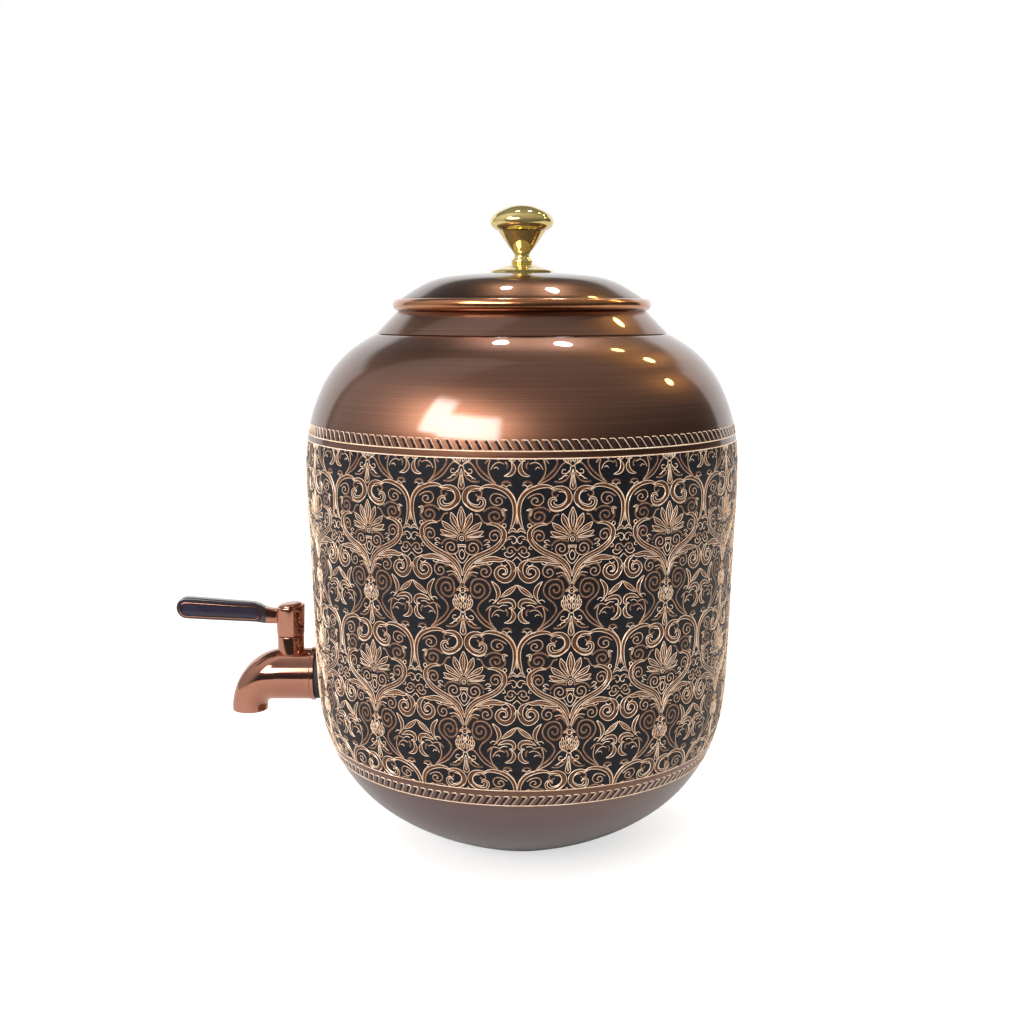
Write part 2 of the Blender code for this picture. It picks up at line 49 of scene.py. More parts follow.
# ---------------------------------------------------------------- driving dimensions, mm
VESSEL_OUTLINE = [
    (36.8, 0.0), (54.2, 7.8), (72.4, 18.4), (87.2, 31.5), (97.6, 47.1), (104.0, 65.4),
    (107.0, 94.3), (108.2, 130.9), (109.4, 167.5), (110.0, 199.0), (107.4, 219.9),
    (101.5, 235.7), (94.7, 246.3), (85.2, 255.4), (74.1, 262.1),
]
WALL = 1.2
COLLAR_FOOT = (73.8, 262.4)
COLLAR_TOP_R = 62.9
RIM_Z = 273.6
MOUTH_R = 54.6
SKIRT_Z = 266.0
LID_OUTLINE = [(17.0, 292.7), (30.0, 291.6), (44.9, 288.9), (54.2, 284.3), (60.2, 280.4)]
LID_TOP = 292.7
BEAD_R = 2.6
BEAD_CENTRE = (62.35, RIM_Z + 0.45 + BEAD_R)
KNOB_Z = 293.0
KNOB_HOLE_R = 2.35
STEM_X = -121.8
BARREL_Z = 83.6
BARREL_R = 13.5
FACE_X = -108.6                 # the back of the tap's face ring
OUTLET = (-143.9, 64.0)         # middle of the spout's mouth, in x and z
SHANK_END_X = -88.0
HUB_TILT = radians(7.0)
HUB_TOP = 120.2
HUB_FOOT = 104.6
BONNET_TOP = 104.3
LEVER_HALF = 3.0                # half the paddle's thickness
GRIP_DEPTH = 0.9
TIP = (-53.9, 119.3)            # centre of the paddle's rounded tip, from the stem
TIP_R = 5.65
GRIP_TIP = (-53.9, 118.6)
GRIP_TIP_R = 4.0
GRIP_CORNER_R = 2.3


# ---------------------------------------------------------------- curves and meshes
def pairs(points):
    """The rows of an array as plain tuples."""
    return [tuple(p) for p in points]


def spline(points, spans):
    """Natural cubic curve through the points, read at spans + 1 even steps of chord length."""
    knots = np.array(points, float)
    chords = np.hypot(*np.diff(knots[:, :2], axis=0).T)
    at = np.concatenate([[0.0], np.cumsum(chords)])
    count = len(at)
    if count == 2:
        return knots[0] + np.linspace(0, 1, spans + 1)[:, None] * (knots[1] - knots[0])
    system = np.eye(count)
    right = np.zeros((count, knots.shape[1]))
    for i in range(1, count - 1):
        system[i, i - 1] = chords[i - 1]
        system[i, i] = 2.0 * (chords[i - 1] + chords[i])
        system[i, i + 1] = chords[i]
        rise = (knots[i + 1] - knots[i]) / chords[i]
        fall = (knots[i] - knots[i - 1]) / chords[i - 1]
        right[i] = 6.0 * (rise - fall)
    bend = np.linalg.solve(system, right)
    t = np.linspace(0.0, at[-1], spans + 1)
    i = np.clip(np.searchsorted(at, t, side="right") - 1, 0, count - 2)
    a, b, h = (at[i + 1] - t)[:, None], (t - at[i])[:, None], chords[i][:, None]
    cubic = bend[i] * a ** 3 / (6 * h) + bend[i + 1] * b ** 3 / (6 * h)
    return cubic + (knots[i] / h - bend[i] * h / 6) * a + (knots[i + 1] / h - bend[i + 1] * h / 6) * b


def arc(centre, radius, start, end, spans):
    """Points on a circle; angles in degrees from the first axis towards the second."""
    turn = np.radians(np.linspace(start, end, spans + 1))
    return np.stack([centre[0] + radius * np.cos(turn), centre[1] + radius * np.sin(turn)], axis=1)


def sideways(line):
    """Unit vectors to the left of the direction of travel at each point."""
    along = np.gradient(np.asarray(line, float)[:, :2], axis=0)
    along /= np.maximum(np.hypot(*along.T), 1e-9)[:, None]
    return np.stack([-along[:, 1], along[:, 0]], axis=1)


def moved_off(line, distance):
    return np.asarray(line, float) + distance * sideways(line)


def piece(name, points, faces, material, slot, body, *nodes, sharp=35.0):
    """A mesh object from points in mm, riding on a body and standing for CAD nodes."""
    mesh = bpy.data.meshes.new(name)
    mesh.from_pydata((np.asarray(points) * MM).tolist(), [], [list(f) for f in faces])
    mesh.materials.append(material)
    mesh.polygons.foreach_set("use_smooth", [True] * len(mesh.polygons))
    if sharp:
        mesh.set_sharp_from_angle(angle=radians(sharp))
    mesh.update()
    return settled(bpy.data.objects.new(name, mesh), slot, body, *nodes)


def settled(thing, slot, body, *nodes):
    if thing.name not in SCENE.collection.objects:
        SCENE.collection.objects.link(thing)
    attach(thing, body)
    if nodes:
        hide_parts(*nodes)
    return thing


def lathe(outline, steps, closed):
    """Points and faces of an outline of (radius, height) turned round Z; poles where radius is 0."""
    points, rows, faces = [], [], []
    turns = np.linspace(0, 2 * pi, steps, endpoint=False)
    for r, z in outline:
        if r < 1e-6:
            rows.append([len(points)] * steps)
            points.append((0.0, 0.0, z))
        else:
            rows.append(list(range(len(points), len(points) + steps)))
            points.extend(zip(r * np.cos(turns), r * np.sin(turns), [z] * steps))
    pairs = list(zip(rows[:-1], rows[1:])) + ([(rows[-1], rows[0])] if closed else [])
    for upper, lower in pairs:
        for i in range(steps):
            j = (i + 1) % steps
            corners = [upper[i], lower[i], lower[j], upper[j]]
            corners = list(dict.fromkeys(corners))
            if len(corners) > 2:
                faces.append(corners)
    return np.array(points), faces


def turned(name, outline, material, slot, body, *nodes, steps=64, closed=False, at=(0, 0, 0),
           along_tap=False, sharp=35.0, shear=0.0):
    """A turned piece, its outline running down the outer side; along_tap lays +Z along -X."""
    points, faces = lathe(outline, steps, closed)
    if along_tap:
        points = np.stack([-points[:, 2], points[:, 1], points[:, 0]], axis=1)
    if shear:
        points[:, 2] += points[:, 0] * shear
    return piece(name, points + np.array(at, float), faces, material, slot, body, *nodes, sharp=sharp)


def softened(outline, radius, closed=True, spans=3, keep=()):
    """The outline with its corners rounded, except those listed in keep."""
    pts = [np.array(p, float) for p in outline]
    made = []
    for i, p in enumerate(pts):
        ends = not closed and i in (0, len(pts) - 1)
        if ends or i in keep:
            made.append(tuple(p))
            continue
        a, b = pts[i - 1] - p, pts[(i + 1) % len(pts)] - p
        la, lb = np.hypot(*a), np.hypot(*b)
        cut = min(radius, 0.45 * la, 0.45 * lb)
        start, end = p + a / la * cut, p + b / lb * cut
        for t in np.linspace(0, 1, spans + 1):
            made.append(tuple((1 - t) ** 2 * start + 2 * t * (1 - t) * p + t * t * end))
    return made


# ---------------------------------------------------------------- materials
def node_tool(tree):
    def add(kind, values=(), **settings):
        node = tree.nodes.new(kind)
        for key, value in settings.items():
            setattr(node, key, value)
        for key, value in dict(values).items():
            if isinstance(value, bpy.types.NodeSocket):
                tree.links.new(value, node.inputs[key])
            else:
                node.inputs[key].default_value = value
        return node
    return add


def finish(name, low, high, rough, metallic=1.0, coat=0.0, coat_rough=0.03, grain=(60, 60, 60),
           spread=0.12, bump=0.0, bump_grain=None, aniso=0.0, inside=None, foot=None):
    """A metal, enamel or rubber whose colour and roughness wander between two ends."""
    material = bpy.data.materials.new(name)
    material.use_nodes = True
    tree = material.node_tree
    shader = tree.nodes["Principled BSDF"]
    add = node_tool(tree)
    where = add("ShaderNodeTexCoord").outputs["Object"]
    laid = add("ShaderNodeMapping", {"Vector": where, "Scale": grain}).outputs[0]
    cloud = add("ShaderNodeTexNoise", {"Vector": laid, "Scale": 1.0, "Detail": 4.0, "Roughness": 0.6})
    tone = add("ShaderNodeMapRange", {"Value": cloud.outputs["Fac"], "From Min": 0.3, "From Max": 0.7})
    colour = add("ShaderNodeMix", {0: tone.outputs[0], 6: (*low, 1.0), 7: (*high, 1.0)},
                 data_type="RGBA").outputs[2]
    # foot: from 56 mm down to 44 mm the colour turns to the foot colour, greyer and lighter; this is
    # partly the bowl's greyer finish and partly a painted reflection of the pale floor
    if foot:
        level = add("ShaderNodeSeparateXYZ", {0: where}).outputs[2]
        lower = add("ShaderNodeMapRange",
                    {"Value": level, "From Min": 0.056, "From Max": 0.044}).outputs[0]
        colour = add("ShaderNodeMix", {0: lower, 6: colour, 7: (*foot, 1.0)},
                     data_type="RGBA").outputs[2]
    if inside:
        normal = add("ShaderNodeNewGeometry").outputs["Normal"]
        flat_place = add("ShaderNodeVectorMath", {0: where, 1: (1.0, 1.0, 0.0)}, operation="MULTIPLY")
        outward = add("ShaderNodeVectorMath", {0: normal, 1: flat_place.outputs[0]},
                      operation="DOT_PRODUCT")
        facing_in = add("ShaderNodeMath", {0: outward.outputs["Value"], 1: 0.0002},
                        operation="LESS_THAN")
        height = add("ShaderNodeSeparateXYZ", {0: where}).outputs[2]
        above = add("ShaderNodeMath", {0: height, 1: 0.0006}, operation="GREATER_THAN").outputs[0]
        mask = add("ShaderNodeMath", {0: facing_in.outputs[0], 1: above},
                   operation="MULTIPLY").outputs[0]
        colour = add("ShaderNodeMix", {0: mask, 6: colour, 7: (*inside, 1.0)},
                     data_type="RGBA").outputs[2]
    tree.links.new(colour, shader.inputs["Base Color"])
    wander = add("ShaderNodeMapRange",
                 {"Value": cloud.outputs["Fac"], "From Min": 0.25, "From Max": 0.75,
                  "To Min": rough * (1 - spread), "To Max": rough * (1 + spread)})
    tree.links.new(wander.outputs[0], shader.inputs["Roughness"])
    shader.inputs["Metallic"].default_value = metallic
    shader.inputs["Coat Weight"].default_value = coat
    shader.inputs["Coat Roughness"].default_value = coat_rough
    if aniso:
        shader.inputs["Anisotropic"].default_value = aniso
        tangent = add("ShaderNodeTangent", direction_type="RADIAL", axis="Z")
        tree.links.new(tangent.outputs[0], shader.inputs["Tangent"])
    if bump:
        fine = add("ShaderNodeMapping", {"Vector": where, "Scale": bump_grain or grain}).outputs[0]
        lines = add("ShaderNodeTexNoise", {"Vector": fine, "Scale": 1.0, "Detail": 3.0})
        raised = add("ShaderNodeBump", {"Height": lines.outputs["Fac"], "Strength": bump,
                                        "Distance": 0.0002})
        tree.links.new(raised.outputs[0], shader.inputs["Normal"])
    return material


BRUSHED = (4.0, 4.0, 2400.0)
# The foot colour, greyer and lighter low on the bowl, is partly a greyer finish and partly a painted
# reflection of the pale floor.
ANTIQUE = finish("antique_copper_brushed", (0.18, 0.078, 0.045), (0.25, 0.11, 0.064), 0.36, coat=1.0,
                 coat_rough=0.04, grain=BRUSHED, bump=0.18, bump_grain=(9.0, 9.0, 3600.0), aniso=0.5,
                 inside=(0.62, 0.28, 0.17), foot=(0.23, 0.15, 0.14))
BRIGHT = finish("etched_copper_lines", (0.88, 0.52, 0.3), (1.0, 0.82, 0.64), 0.28, metallic=0.12,
                coat=0.5, grain=(260.0, 260.0, 260.0))
BED = finish("etched_copper_beds", (0.065, 0.025, 0.011), (0.16, 0.064, 0.027), 0.42, metallic=0.5,
             coat=0.25, grain=(300.0, 300.0, 300.0), bump=0.3)
GROUND = finish("etched_ground", (0.003, 0.0035, 0.006), (0.009, 0.009, 0.013), 0.5, metallic=0.0,
                coat=0.12, coat_rough=0.12, grain=(400.0, 400.0, 900.0), bump=0.5)
GROUND.node_tree.nodes["Principled BSDF"].inputs["Specular IOR Level"].default_value = 0.2
LID_COPPER = finish("lid_copper", (0.1, 0.034, 0.008), (0.165, 0.06, 0.015), 0.3, coat=0.9,
                    grain=BRUSHED, bump=0.1, bump_grain=(9.0, 9.0, 3600.0), aniso=0.4)
# The bead is rolled from the lid's own copper; this brighter orange is a painted reflection on it.
BEAD_PAINTED_REFLECTION = finish("bead_copper_painted_reflection", (0.5, 0.19, 0.07), (0.64, 0.26, 0.11), 0.22, coat=0.8)
ROSE = finish("rose_copper_plate", (0.54, 0.235, 0.155), (0.62, 0.285, 0.195), 0.1, coat=0.3)
BRASS = finish("polished_brass", (0.76, 0.58, 0.2), (0.86, 0.68, 0.28), 0.08, metallic=0.86, coat=0.3)
ENAMEL = finish("grip_enamel", (0.01, 0.008, 0.02), (0.02, 0.015, 0.035), 0.28, metallic=0.0, coat=0.5)
DARK_GRIP = finish("dark_grip", (0.018, 0.012, 0.016), (0.032, 0.022, 0.028), 0.2, metallic=0.0,
                   coat=1.0)
RUBBER = finish("black_rubber", (0.015, 0.015, 0.015), (0.03, 0.03, 0.03), 0.65, metallic=0.0, bump=0.2)
PTFE = finish("white_ptfe", (0.8, 0.8, 0.78), (0.88, 0.88, 0.86), 0.45, metallic=0.0)
STEEL = finish("plain_steel", (0.5, 0.5, 0.5), (0.62, 0.62, 0.63), 0.3)
PLAIN_BRASS = finish("plain_brass", (0.55, 0.36, 0.12), (0.68, 0.46, 0.18), 0.28)


# ---------------------------------------------------------------- vessel
body_line = spline(VESSEL_OUTLINE, 160)
inner = moved_off(body_line, WALL)
inner = [tuple(p) for p in inner if p[1] > WALL]
cone_run = (COLLAR_FOOT[0] - COLLAR_TOP_R) / (RIM_Z - COLLAR_FOOT[1])
collar_inner_foot = COLLAR_FOOT[0] - 1.3 * WALL
lip_foot_r = collar_inner_foot - 0.45
lip_top_r = lip_foot_r - (SKIRT_Z - COLLAR_FOOT[1]) * cone_run
lip = [
    (lip_foot_r - WALL, COLLAR_FOOT[1] - 0.3), (lip_top_r - WALL, SKIRT_Z),
    (lip_top_r, SKIRT_Z), (lip_foot_r, COLLAR_FOOT[1] - 0.3),
]
shell_line = [(0, WALL), (inner[0][0] - 2.0, WALL)] + inner[:-1] + lip
shell_line += pairs(body_line[::-1][:-1]) + [(37.6, 0.3), (36.6, 0.0), (0, 0)]
FINE = 256
turned("vessel_shell_fine", shell_line, ANTIQUE, "antique_copper", "vessel", "vessel_shell", steps=FINE)

collar_line = [
    (MOUTH_R, RIM_Z), (COLLAR_TOP_R, RIM_Z), COLLAR_FOOT, (collar_inner_foot, COLLAR_FOOT[1]),
    (COLLAR_TOP_R - 0.7 * WALL, RIM_Z - WALL), (MOUTH_R + WALL, RIM_Z - WALL),
    (MOUTH_R + WALL, SKIRT_Z), (MOUTH_R, SKIRT_Z),
]
collar_line = softened(collar_line, 0.5)
turned("neck_collar_fine", collar_line, ANTIQUE, "antique_copper", "vessel", "neck_collar", steps=FINE,
       closed=True)


# ---------------------------------------------------------------- the etched band
# Places on the wall: arc length down from the crease, mm, and angle round from the front.
wall_down = spline(VESSEL_OUTLINE, 1600)[::-1]
wall_length = np.concatenate([[0.0], np.cumsum(np.hypot(*np.diff(wall_down, axis=0).T))])
wall_out = sideways(wall_down)
z_down = -wall_down[:, 1]


def length_at(z):
    return float(np.interp(-z, z_down, wall_length))


def on_wall(angle, length, lift):
    """Points in mm on the wall, lifted off it along its normal."""
    r = np.interp(length, wall_length, wall_down[:, 0])
    z = np.interp(length, wall_length, wall_down[:, 1])
    out_r = np.interp(length, wall_length, wall_out[:, 0])
    out_z = np.interp(length, wall_length, wall_out[:, 1])
    r, z = r + out_r * lift, z + out_z * lift
    return np.stack([r * np.sin(angle), -r * np.cos(angle), z], axis=1)


COLUMNS = 14
COLUMN_ANGLE = 2 * pi / COLUMNS
FIRST_COLUMN = radians(-1.07) + COLUMN_ANGLE / 2
HALF_TILE = 50.0                 # design units from a palmette's axis to the next axis
UNIT = 0.5125                    # one design unit along the wall, mm
EYE_LENGTH = length_at(174.5)    # wall length down to the first row's palmette eyes
EYE_HEIGHT = -0.5                # their place in the design
ROW_UNITS = 128.5
PATTERN_TOP = length_at(210.1)
PATTERN_FOOT = length_at(56.4)
RAIL_HALF = 0.55                 # half a bright line's width, design units
RAIL_TOP = 0.21
RAIL_FOOT = -0.15
BED_LIFT = 0.04


class Ridges:
    """Collects closed three-sided ridges along lines on the wall."""

    def __init__(self):
        self.points, self.faces, self.count = [], [], 0

    def add(self, line, half, top, foot, place):
        """line: design points; half: half-width at each; place maps (u, v, lift) to mm."""
        side = sideways(line) * np.asarray(half)[:, None]
        crown, left, right = line, line + side, line - side
        rows = np.stack([place(left, foot), place(crown, top), place(right, foot)], axis=1)
        n = len(line)
        base = self.count
        for i in range(n - 1):
            a = base + 3 * i
            self.faces += [(a, a + 3, a + 4, a + 1), (a + 1, a + 4, a + 5, a + 2),
                           (a + 2, a + 5, a + 3, a)]
        end = base + 3 * (n - 1)
        self.faces += [(base, base + 1, base + 2), (end + 2, end + 1, end)]
        self.points.append(rows.reshape(-1, 3))
        self.count += 3 * n

    def mesh(self, name, material):
        mesh = bpy.data.meshes.new(name)
        mesh.from_pydata((np.concatenate(self.points) * MM).tolist(), [], self.faces)
        mesh.materials.append(material)
        mesh.polygons.foreach_set("use_smooth", [True] * len(mesh.polygons))
        mesh.set_sharp_from_angle(angle=radians(100))
        mesh.update()
        return mesh


def thinned(line, turn=16.0, reach=3.2):
    """Drops points of a fine line until it turns by about turn degrees or runs reach."""
    keep = [0]
    along = np.diff(line[:, :2], axis=0)
    heading = np.unwrap(np.arctan2(along[:, 1], along[:, 0]))
    for i in range(1, len(line) - 1):
        bent = abs(heading[i] - heading[keep[-1]])
        if bent > radians(turn) or np.hypot(*(line[i, :2] - line[keep[-1], :2])) > reach:
            keep.append(i)
    return line[keep + [len(line) - 1]]


def runs_inside(line, low, high):
    """The stretches of a line whose second coordinate lies between low and high."""
    made, current = [], []
    for i, p in enumerate(line):
        inside = low <= p[1] <= high
        if i and inside != (low <= line[i - 1][1] <= high):
            q = line[i - 1]
            edge = high if max(p[1], q[1]) > high else low
            cut = q + (p - q) * (edge - q[1]) / (p[1] - q[1])
            current.append(cut)
            if not inside:
                made.append(np.array(current))
                current = []
        if inside:
            current.append(p)
    if len(current) > 1:
        made.append(np.array(current))
    return [m for m in made if len(m) > 1 and np.hypot(*(m[-1, :2] - m[0, :2])) + len(m) > 2.5]


def ring_points(a, b, radius, start=0, end=360):
    steps = max(6, int(abs(end - start) / 30))
    return pairs(arc((a, b), radius, start, end, steps))


# Each stroke of the right half of one tile, as (kind, points). A line is one bright ridge; a
# coil is a line on a brown bed; a band is two bright lines with a bed between, its points
# carrying a width. Strokes in ON_AXIS aren't mirrored.
ON_AXIS = [
    ("band", [(0, 5.5, 0.6), (0, 10, 4.2), (0, 17, 7.6), (0, 22.5, 5.4), (0, 27.5, 0.2)]),
    ("band", [(0, 10.5, 0.2), (0, 17.5, 2.6), (0, 24.5, 0.2)]),
    ("coil", ring_points(0, -0.5, 3.9, -15, 195)),
    ("line", ring_points(0, -0.5, 1.9)),
    ("line", [(-0.4, -0.5), (0.4, -0.5)]),
    ("band", [(-4.0, -6.7, 1.6), (4.0, -6.7, 1.6)]),
    ("line", [(-7.0, -13.5), (0, -22.0), (7.0, -13.5)]),
    ("line", [(0, -10.0), (2.6, -14.0), (0, -18.5), (-2.6, -14.0), (0, -10.0)]),
    ("band", [(0, 60, 0.4), (0, 54, 2.6), (0, 46.5, 5.4), (0, 43.2, 3.4), (0, 42.2, 0.4)]),
    ("band", [(0, 55, 0.2), (0, 47.5, 1.8), (0, 45, 0.2)]),
    ("line", ring_points(0, -46, 2.5)),
    ("line", [(-0.4, -46), (0.4, -46)]),
]
MIRRORED = [
    # palmette petals and the arm under them
    ("band", [(2.0, 4.4, 0.4), (4.6, 10.5, 3.4), (7.6, 16.5, 5.6), (9.5, 22.0, 0.2)]),
    ("line", [(3.6, 9.5), (6.6, 15.5), (8.6, 19.5)]),
    ("band", [(3.4, 3.2, 0.4), (9.0, 7.4, 3.0), (14.6, 10.4, 4.6), (18.4, 14.2, 0.2)]),
    ("line", [(7.5, 6.8), (12.5, 9.4), (16.5, 12)]),
    ("band", [(4.6, 1.6, 0.4), (11.0, 3.0, 2.4), (16.5, 4.4, 3.4), (20.0, 6.6, 0.2)]),
    ("line", [(5.2, 0.4), (13, 0.8), (20.3, 2.2)]),
    ("coil", [(3.4, -2.8), (9.5, -0.9), (15.5, -2.0), (19.4, -6.6)]),
    ("coil", [(3.6, -6.2), (3.0, -10.5), (6.6, -14.2), (12.6, -13.6), (15.4, -9.4), (13.6, -5.2),
              (9.4, -4.4), (6.6, -7.4), (7.6, -10.6), (10.6, -11.0), (11.8, -8.8), (10.0, -7.8)]),
    ("line", [(18.2, -8.4), (18.9, -9.2)]),
    # ogee frame and the leaves at its foot
    ("band", [(1.2, -33.5, 2.0), (4, -25.5, 4.2), (10, -19, 4.6), (17, -15, 4.4), (26, -11, 4.6),
              (34, -5.5, 4.6), (38.4, 1, 4.2), (38.2, 7.2, 3.4), (34, 11.2, 2.6), (28, 13.2, 2.0),
              (23, 12.6, 0.6)]),
    ("line", [(1.6, -30.5), (5.4, -24.0), (11, -18.6), (18, -14.8), (26, -11.2), (33, -6.2),
              (37.2, 0.4)]),
    ("coil", [(12.6, 21.4), (16.4, 20.2), (18.4, 16.6), (22, 13.6), (27, 13.4)]),
    ("coil", [(1.0, -42.0), (4.6, -35.8), (8.6, -32.2), (13.4, -33.8)]),
    ("coil", [(2.6, -35.2), (6, -29.6), (11.4, -24.9), (16.6, -25.6)]),
    ("line", [(4.6, -33.0), (9.6, -29.7), (14.6, -30.7)]),
    ("band", [(0.8, -40.0, 1.0), (3.2, -33.5, 2.0), (7.0, -27.5, 1.6), (12.5, -23.6, 0.2)]),
    ("coil", [(6.5, -29.0), (10.5, -24.9), (16, -23.6), (22, -22.6), (26.4, -26.0), (26.0, -31.2),
              (21.4, -33.6), (17.4, -30.4), (18.8, -27.0), (22.4, -27.2), (22.8, -29.8), (21.0, -30.0)]),
    ("line", [(22.5, -20.8), (25.6, -22.6), (28.0, -21.0)]),
    # stem on the axis between palmettes, with its cap leaf and small volute
    ("band", [(44.5, 8.5, 0.8), (47.2, 16.5, 2.6), (48.2, 25.5, 3.0), (46.9, 32.9, 3.2),
              (42.8, 39.2, 3.2), (35.6, 43.8, 3.2), (26.5, 45.8, 2.8), (19, 44.2, 1.4),
              (16.6, 41.4, 0.6)]),
    ("line", [(49.4, 13.5), (49.7, 23.5), (49.1, 32.5), (46.0, 39.0), (40.4, 44.5)]),
    ("coil", [(36.2, 45.9), (37.6, 48.8), (40.6, 49.6), (43.6, 48.8), (45.0, 46.0)]),
    ("line", [(36.2, 45.9), (38.6, 46.6), (40.5, 45.2), (42.6, 46.7), (45.0, 46.0)]),
    ("coil", [(40.5, 35.4), (34.5, 38.8), (28.2, 38.4), (26.2, 34.4), (28.6, 30.4), (33.6, 29.4),
              (37.2, 32.2), (35.4, 35.4), (31.8, 34.9), (31.6, 32.6), (33.4, 32.4)]),
    # big C-scroll
    ("band", [(20.2, 43.4, 0.6), (14.4, 44.4, 2.2), (7.6, 43.2, 3.6), (3.6, 38.6, 4.6), (3.4, 33.2, 4.4),
              (7.2, 28.4, 3.6), (12.6, 26.2, 3.0), (18, 26.6, 2.6), (21, 30.0, 2.4), (20.2, 34.2, 2.0),
              (16.4, 35.0, 1.4), (14.8, 32.6, 0.6)]),
    ("line", [(13, 41.0), (7.2, 39.6), (5.8, 35.5), (8.0, 31.6), (12.4, 29.4), (16.4, 30.0),
              (17.4, 32.4)]),
    ("line", [(3.2, 30.2), (8.4, 25.6), (15.0, 23.6), (21.0, 25.6)]),
    ("coil", [(13.6, 42.2), (18.2, 41.2), (18.6, 37.8), (15.4, 36.4), (13.4, 38.6)]),
    # volute beside it
    ("coil", [(20.2, 23.4), (26, 27.2), (33.6, 26.8), (39, 22.4), (38.6, 16.8), (33.6, 13.6), (27, 15.4),
              (25.2, 20.4), (29.2, 23.6), (34.0, 22.0), (34.0, 18.4), (30.4, 17.6), (29.6, 20.0)]),
    ("band", [(38.2, 20.0, 0.4), (38.0, 25.4, 1.8), (41.4, 25.0, 0.2)]),
    ("line", ring_points(38.8, 11.8, 1.7)),
    # small volute inside the ogee
    ("coil", [(35.6, 1.2), (34.4, 6.2), (29.4, 7.4), (25.8, 4.0), (27.0, -0.6), (31.4, -1.0),
              (32.6, 2.4), (30.0, 4.2), (28.8, 2.4)]),
    ("line", [(20.6, -2.4), (23.0, -0.8), (25.6, -2.6), (23.0, -3.6)]),
    ("line", [(20.6, -5.8), (23.2, -4.8), (25.8, -6.2), (23.0, -7.2)]),
    # node on the axis, and its crown
    ("band", [(42.2, 5.2, 0.4), (46.2, 8.4, 2.6), (49.8, 6.0, 0.6)]),
    ("line", [(42.0, 1.2), (45.4, 2.8), (48.8, 1.4), (49.0, -2.8), (46.4, -3.8), (45.4, -1.8)]),
    ("coil", [(38.5, -3.0), (42.0, -0.2), (45.0, 0.2)]),
    ("coil", [(49.8, -10.2), (47.0, -7.2), (43.0, -7.0), (41.2, -10.0), (43.4, -12.4), (46.0, -11.2),
              (45.0, -9.4)]),
    ("line", [(48.6, -12.0), (45.0, -15.4), (40.4, -15.2), (38.8, -12.6), (40.6, -11.4)]),
    ("line", [(46.0, -19.0), (50.0, -15.4)]),
    ("line", [(36.4, -9.0), (39.2, -8.2), (38.2, -6.0)]),
    ("band", [(11.5, -22.0, 0.2), (20.5, -19.2, 3.6), (30, -17.6, 4.2), (36, -18.4, 3.0),
              (40.6, -17.8, 0.4)]),
    ("line", [(15, -20.6), (25, -18.0), (36, -17.8)]),
    # anchor scroll
    ("band", [(40, -18.4, 0.8), (45.4, -22.0, 3.6), (47.0, -27.4, 4.4), (45.2, -33.0, 4.4),
              (40.2, -36.4, 4.2), (34.4, -35.0, 3.8), (31.2, -30.6, 3.4), (32.8, -26.2, 2.8),
              (37.2, -24.6, 2.2), (40.6, -27.4, 1.8), (39.4, -30.8, 1.2), (36.8, -30.6, 0.4)]),
    ("line", [(35.6, -21.6), (38.0, -23.6), (41.0, -22.6)]),
    ("line", [(46.6, -29.0), (50, -24.4)]),
    # leaves between anchor scroll and thistle
    ("band", [(35.2, -51.4, 0.2), (40.5, -47.8, 3.8), (45.6, -44.2, 3.6), (49.6, -40.4, 0.2)]),
    ("line", [(37.6, -49.8), (43.5, -45.6), (47.5, -42.3)]),
    ("coil", [(7.6, -43.4), (9.8, -37.4), (16.6, -35.4), (23.6, -38.8), (26.0, -45.4), (22.8, -51.6),
              (16.6, -56.6), (14.0, -62.6), (16.6, -68.0), (23.6, -74.6), (31, -80.4)]),
    ("coil", [(7.6, -43.4), (8.2, -49.0), (12.4, -52.4), (18.0, -51.0), (20.8, -46.4), (18.8, -41.2),
              (13.8, -40.2), (11.2, -43.6), (12.8, -47.2), (16.0, -46.8), (16.6, -44.2)]),
    ("band", [(27, -37.4, 0.4), (31.4, -42.4, 3.4), (33.2, -48.0, 3.4), (30.2, -55.8, 0.2)]),
    ("band", [(32, -57.2, 0.2), (36.4, -55.0, 2.6), (42, -54.0, 3.4), (46.8, -56.2, 3.4),
              (47.2, -60.0, 2.4), (42.6, -61.0, 0.4)]),
    ("line", [(33.4, -60.4), (37.6, -58.2), (41.2, -58.8)]),
    ("coil", [(21.6, -63.6), (25.6, -59.8), (30.0, -59.2), (34.2, -60.8)]),
    ("line", [(24.6, -55.6), (27.6, -53.6), (30.4, -55.2), (28.0, -57.0)]),
    # around the node under the thistle (the next row's top)
    ("band", [(45.0, 66.6, 0.2), (47.2, 61.0, 3.4), (44.8, 56.4, 3.2), (38.6, 54.4, 0.2)]),
    ("coil", [(39.4, 66.4), (41.6, 63.6), (41.0, 60.6)]),
    ("coil", [(26.8, 59.6), (29.2, 63.8), (34, 66.0), (38.6, 64.6)]),
    ("line", [(29.6, 61.0), (32.0, 61.8), (33.6, 60.0)]),
    ("coil", [(26.2, 68.0), (24.4, 60.5), (26.4, 53.6), (31.5, 47.8)]),
    ("coil", [(0.8, 61.6), (3.0, 65.2), (7.2, 65.6), (11.2, 62.4), (15.4, 56.6), (21.2, 51.6),
              (28, 48.4), (35.6, 44.6)]),
    ("line", [(2, 62.4), (2.6, 58.8), (6, 56.4), (9.8, 57.0), (9.0, 59.6), (6.6, 59.4)]),
    ("coil", [(2, 57.6), (5, 52.2), (10, 49.2), (16.6, 49.4)]),
    ("line", [(3, 59), (8.6, 53.6), (13, 51.2)]),
    ("line", [(5.0, 54.6), (9.0, 53.8), (10.4, 51.6)]),
    # thistle
    ("line", [(3.4, -43.6), (1.2, -42.0)]),
    ("band", [(1.6, -47.6, 0.2), (4.0, -45.4, 1.6), (5.6, -46.6, 0.2)]),
    ("band", [(2.6, -49.0, 0.2), (2.6, -51.4, 2.4), (2.2, -54.2, 0.2)]),
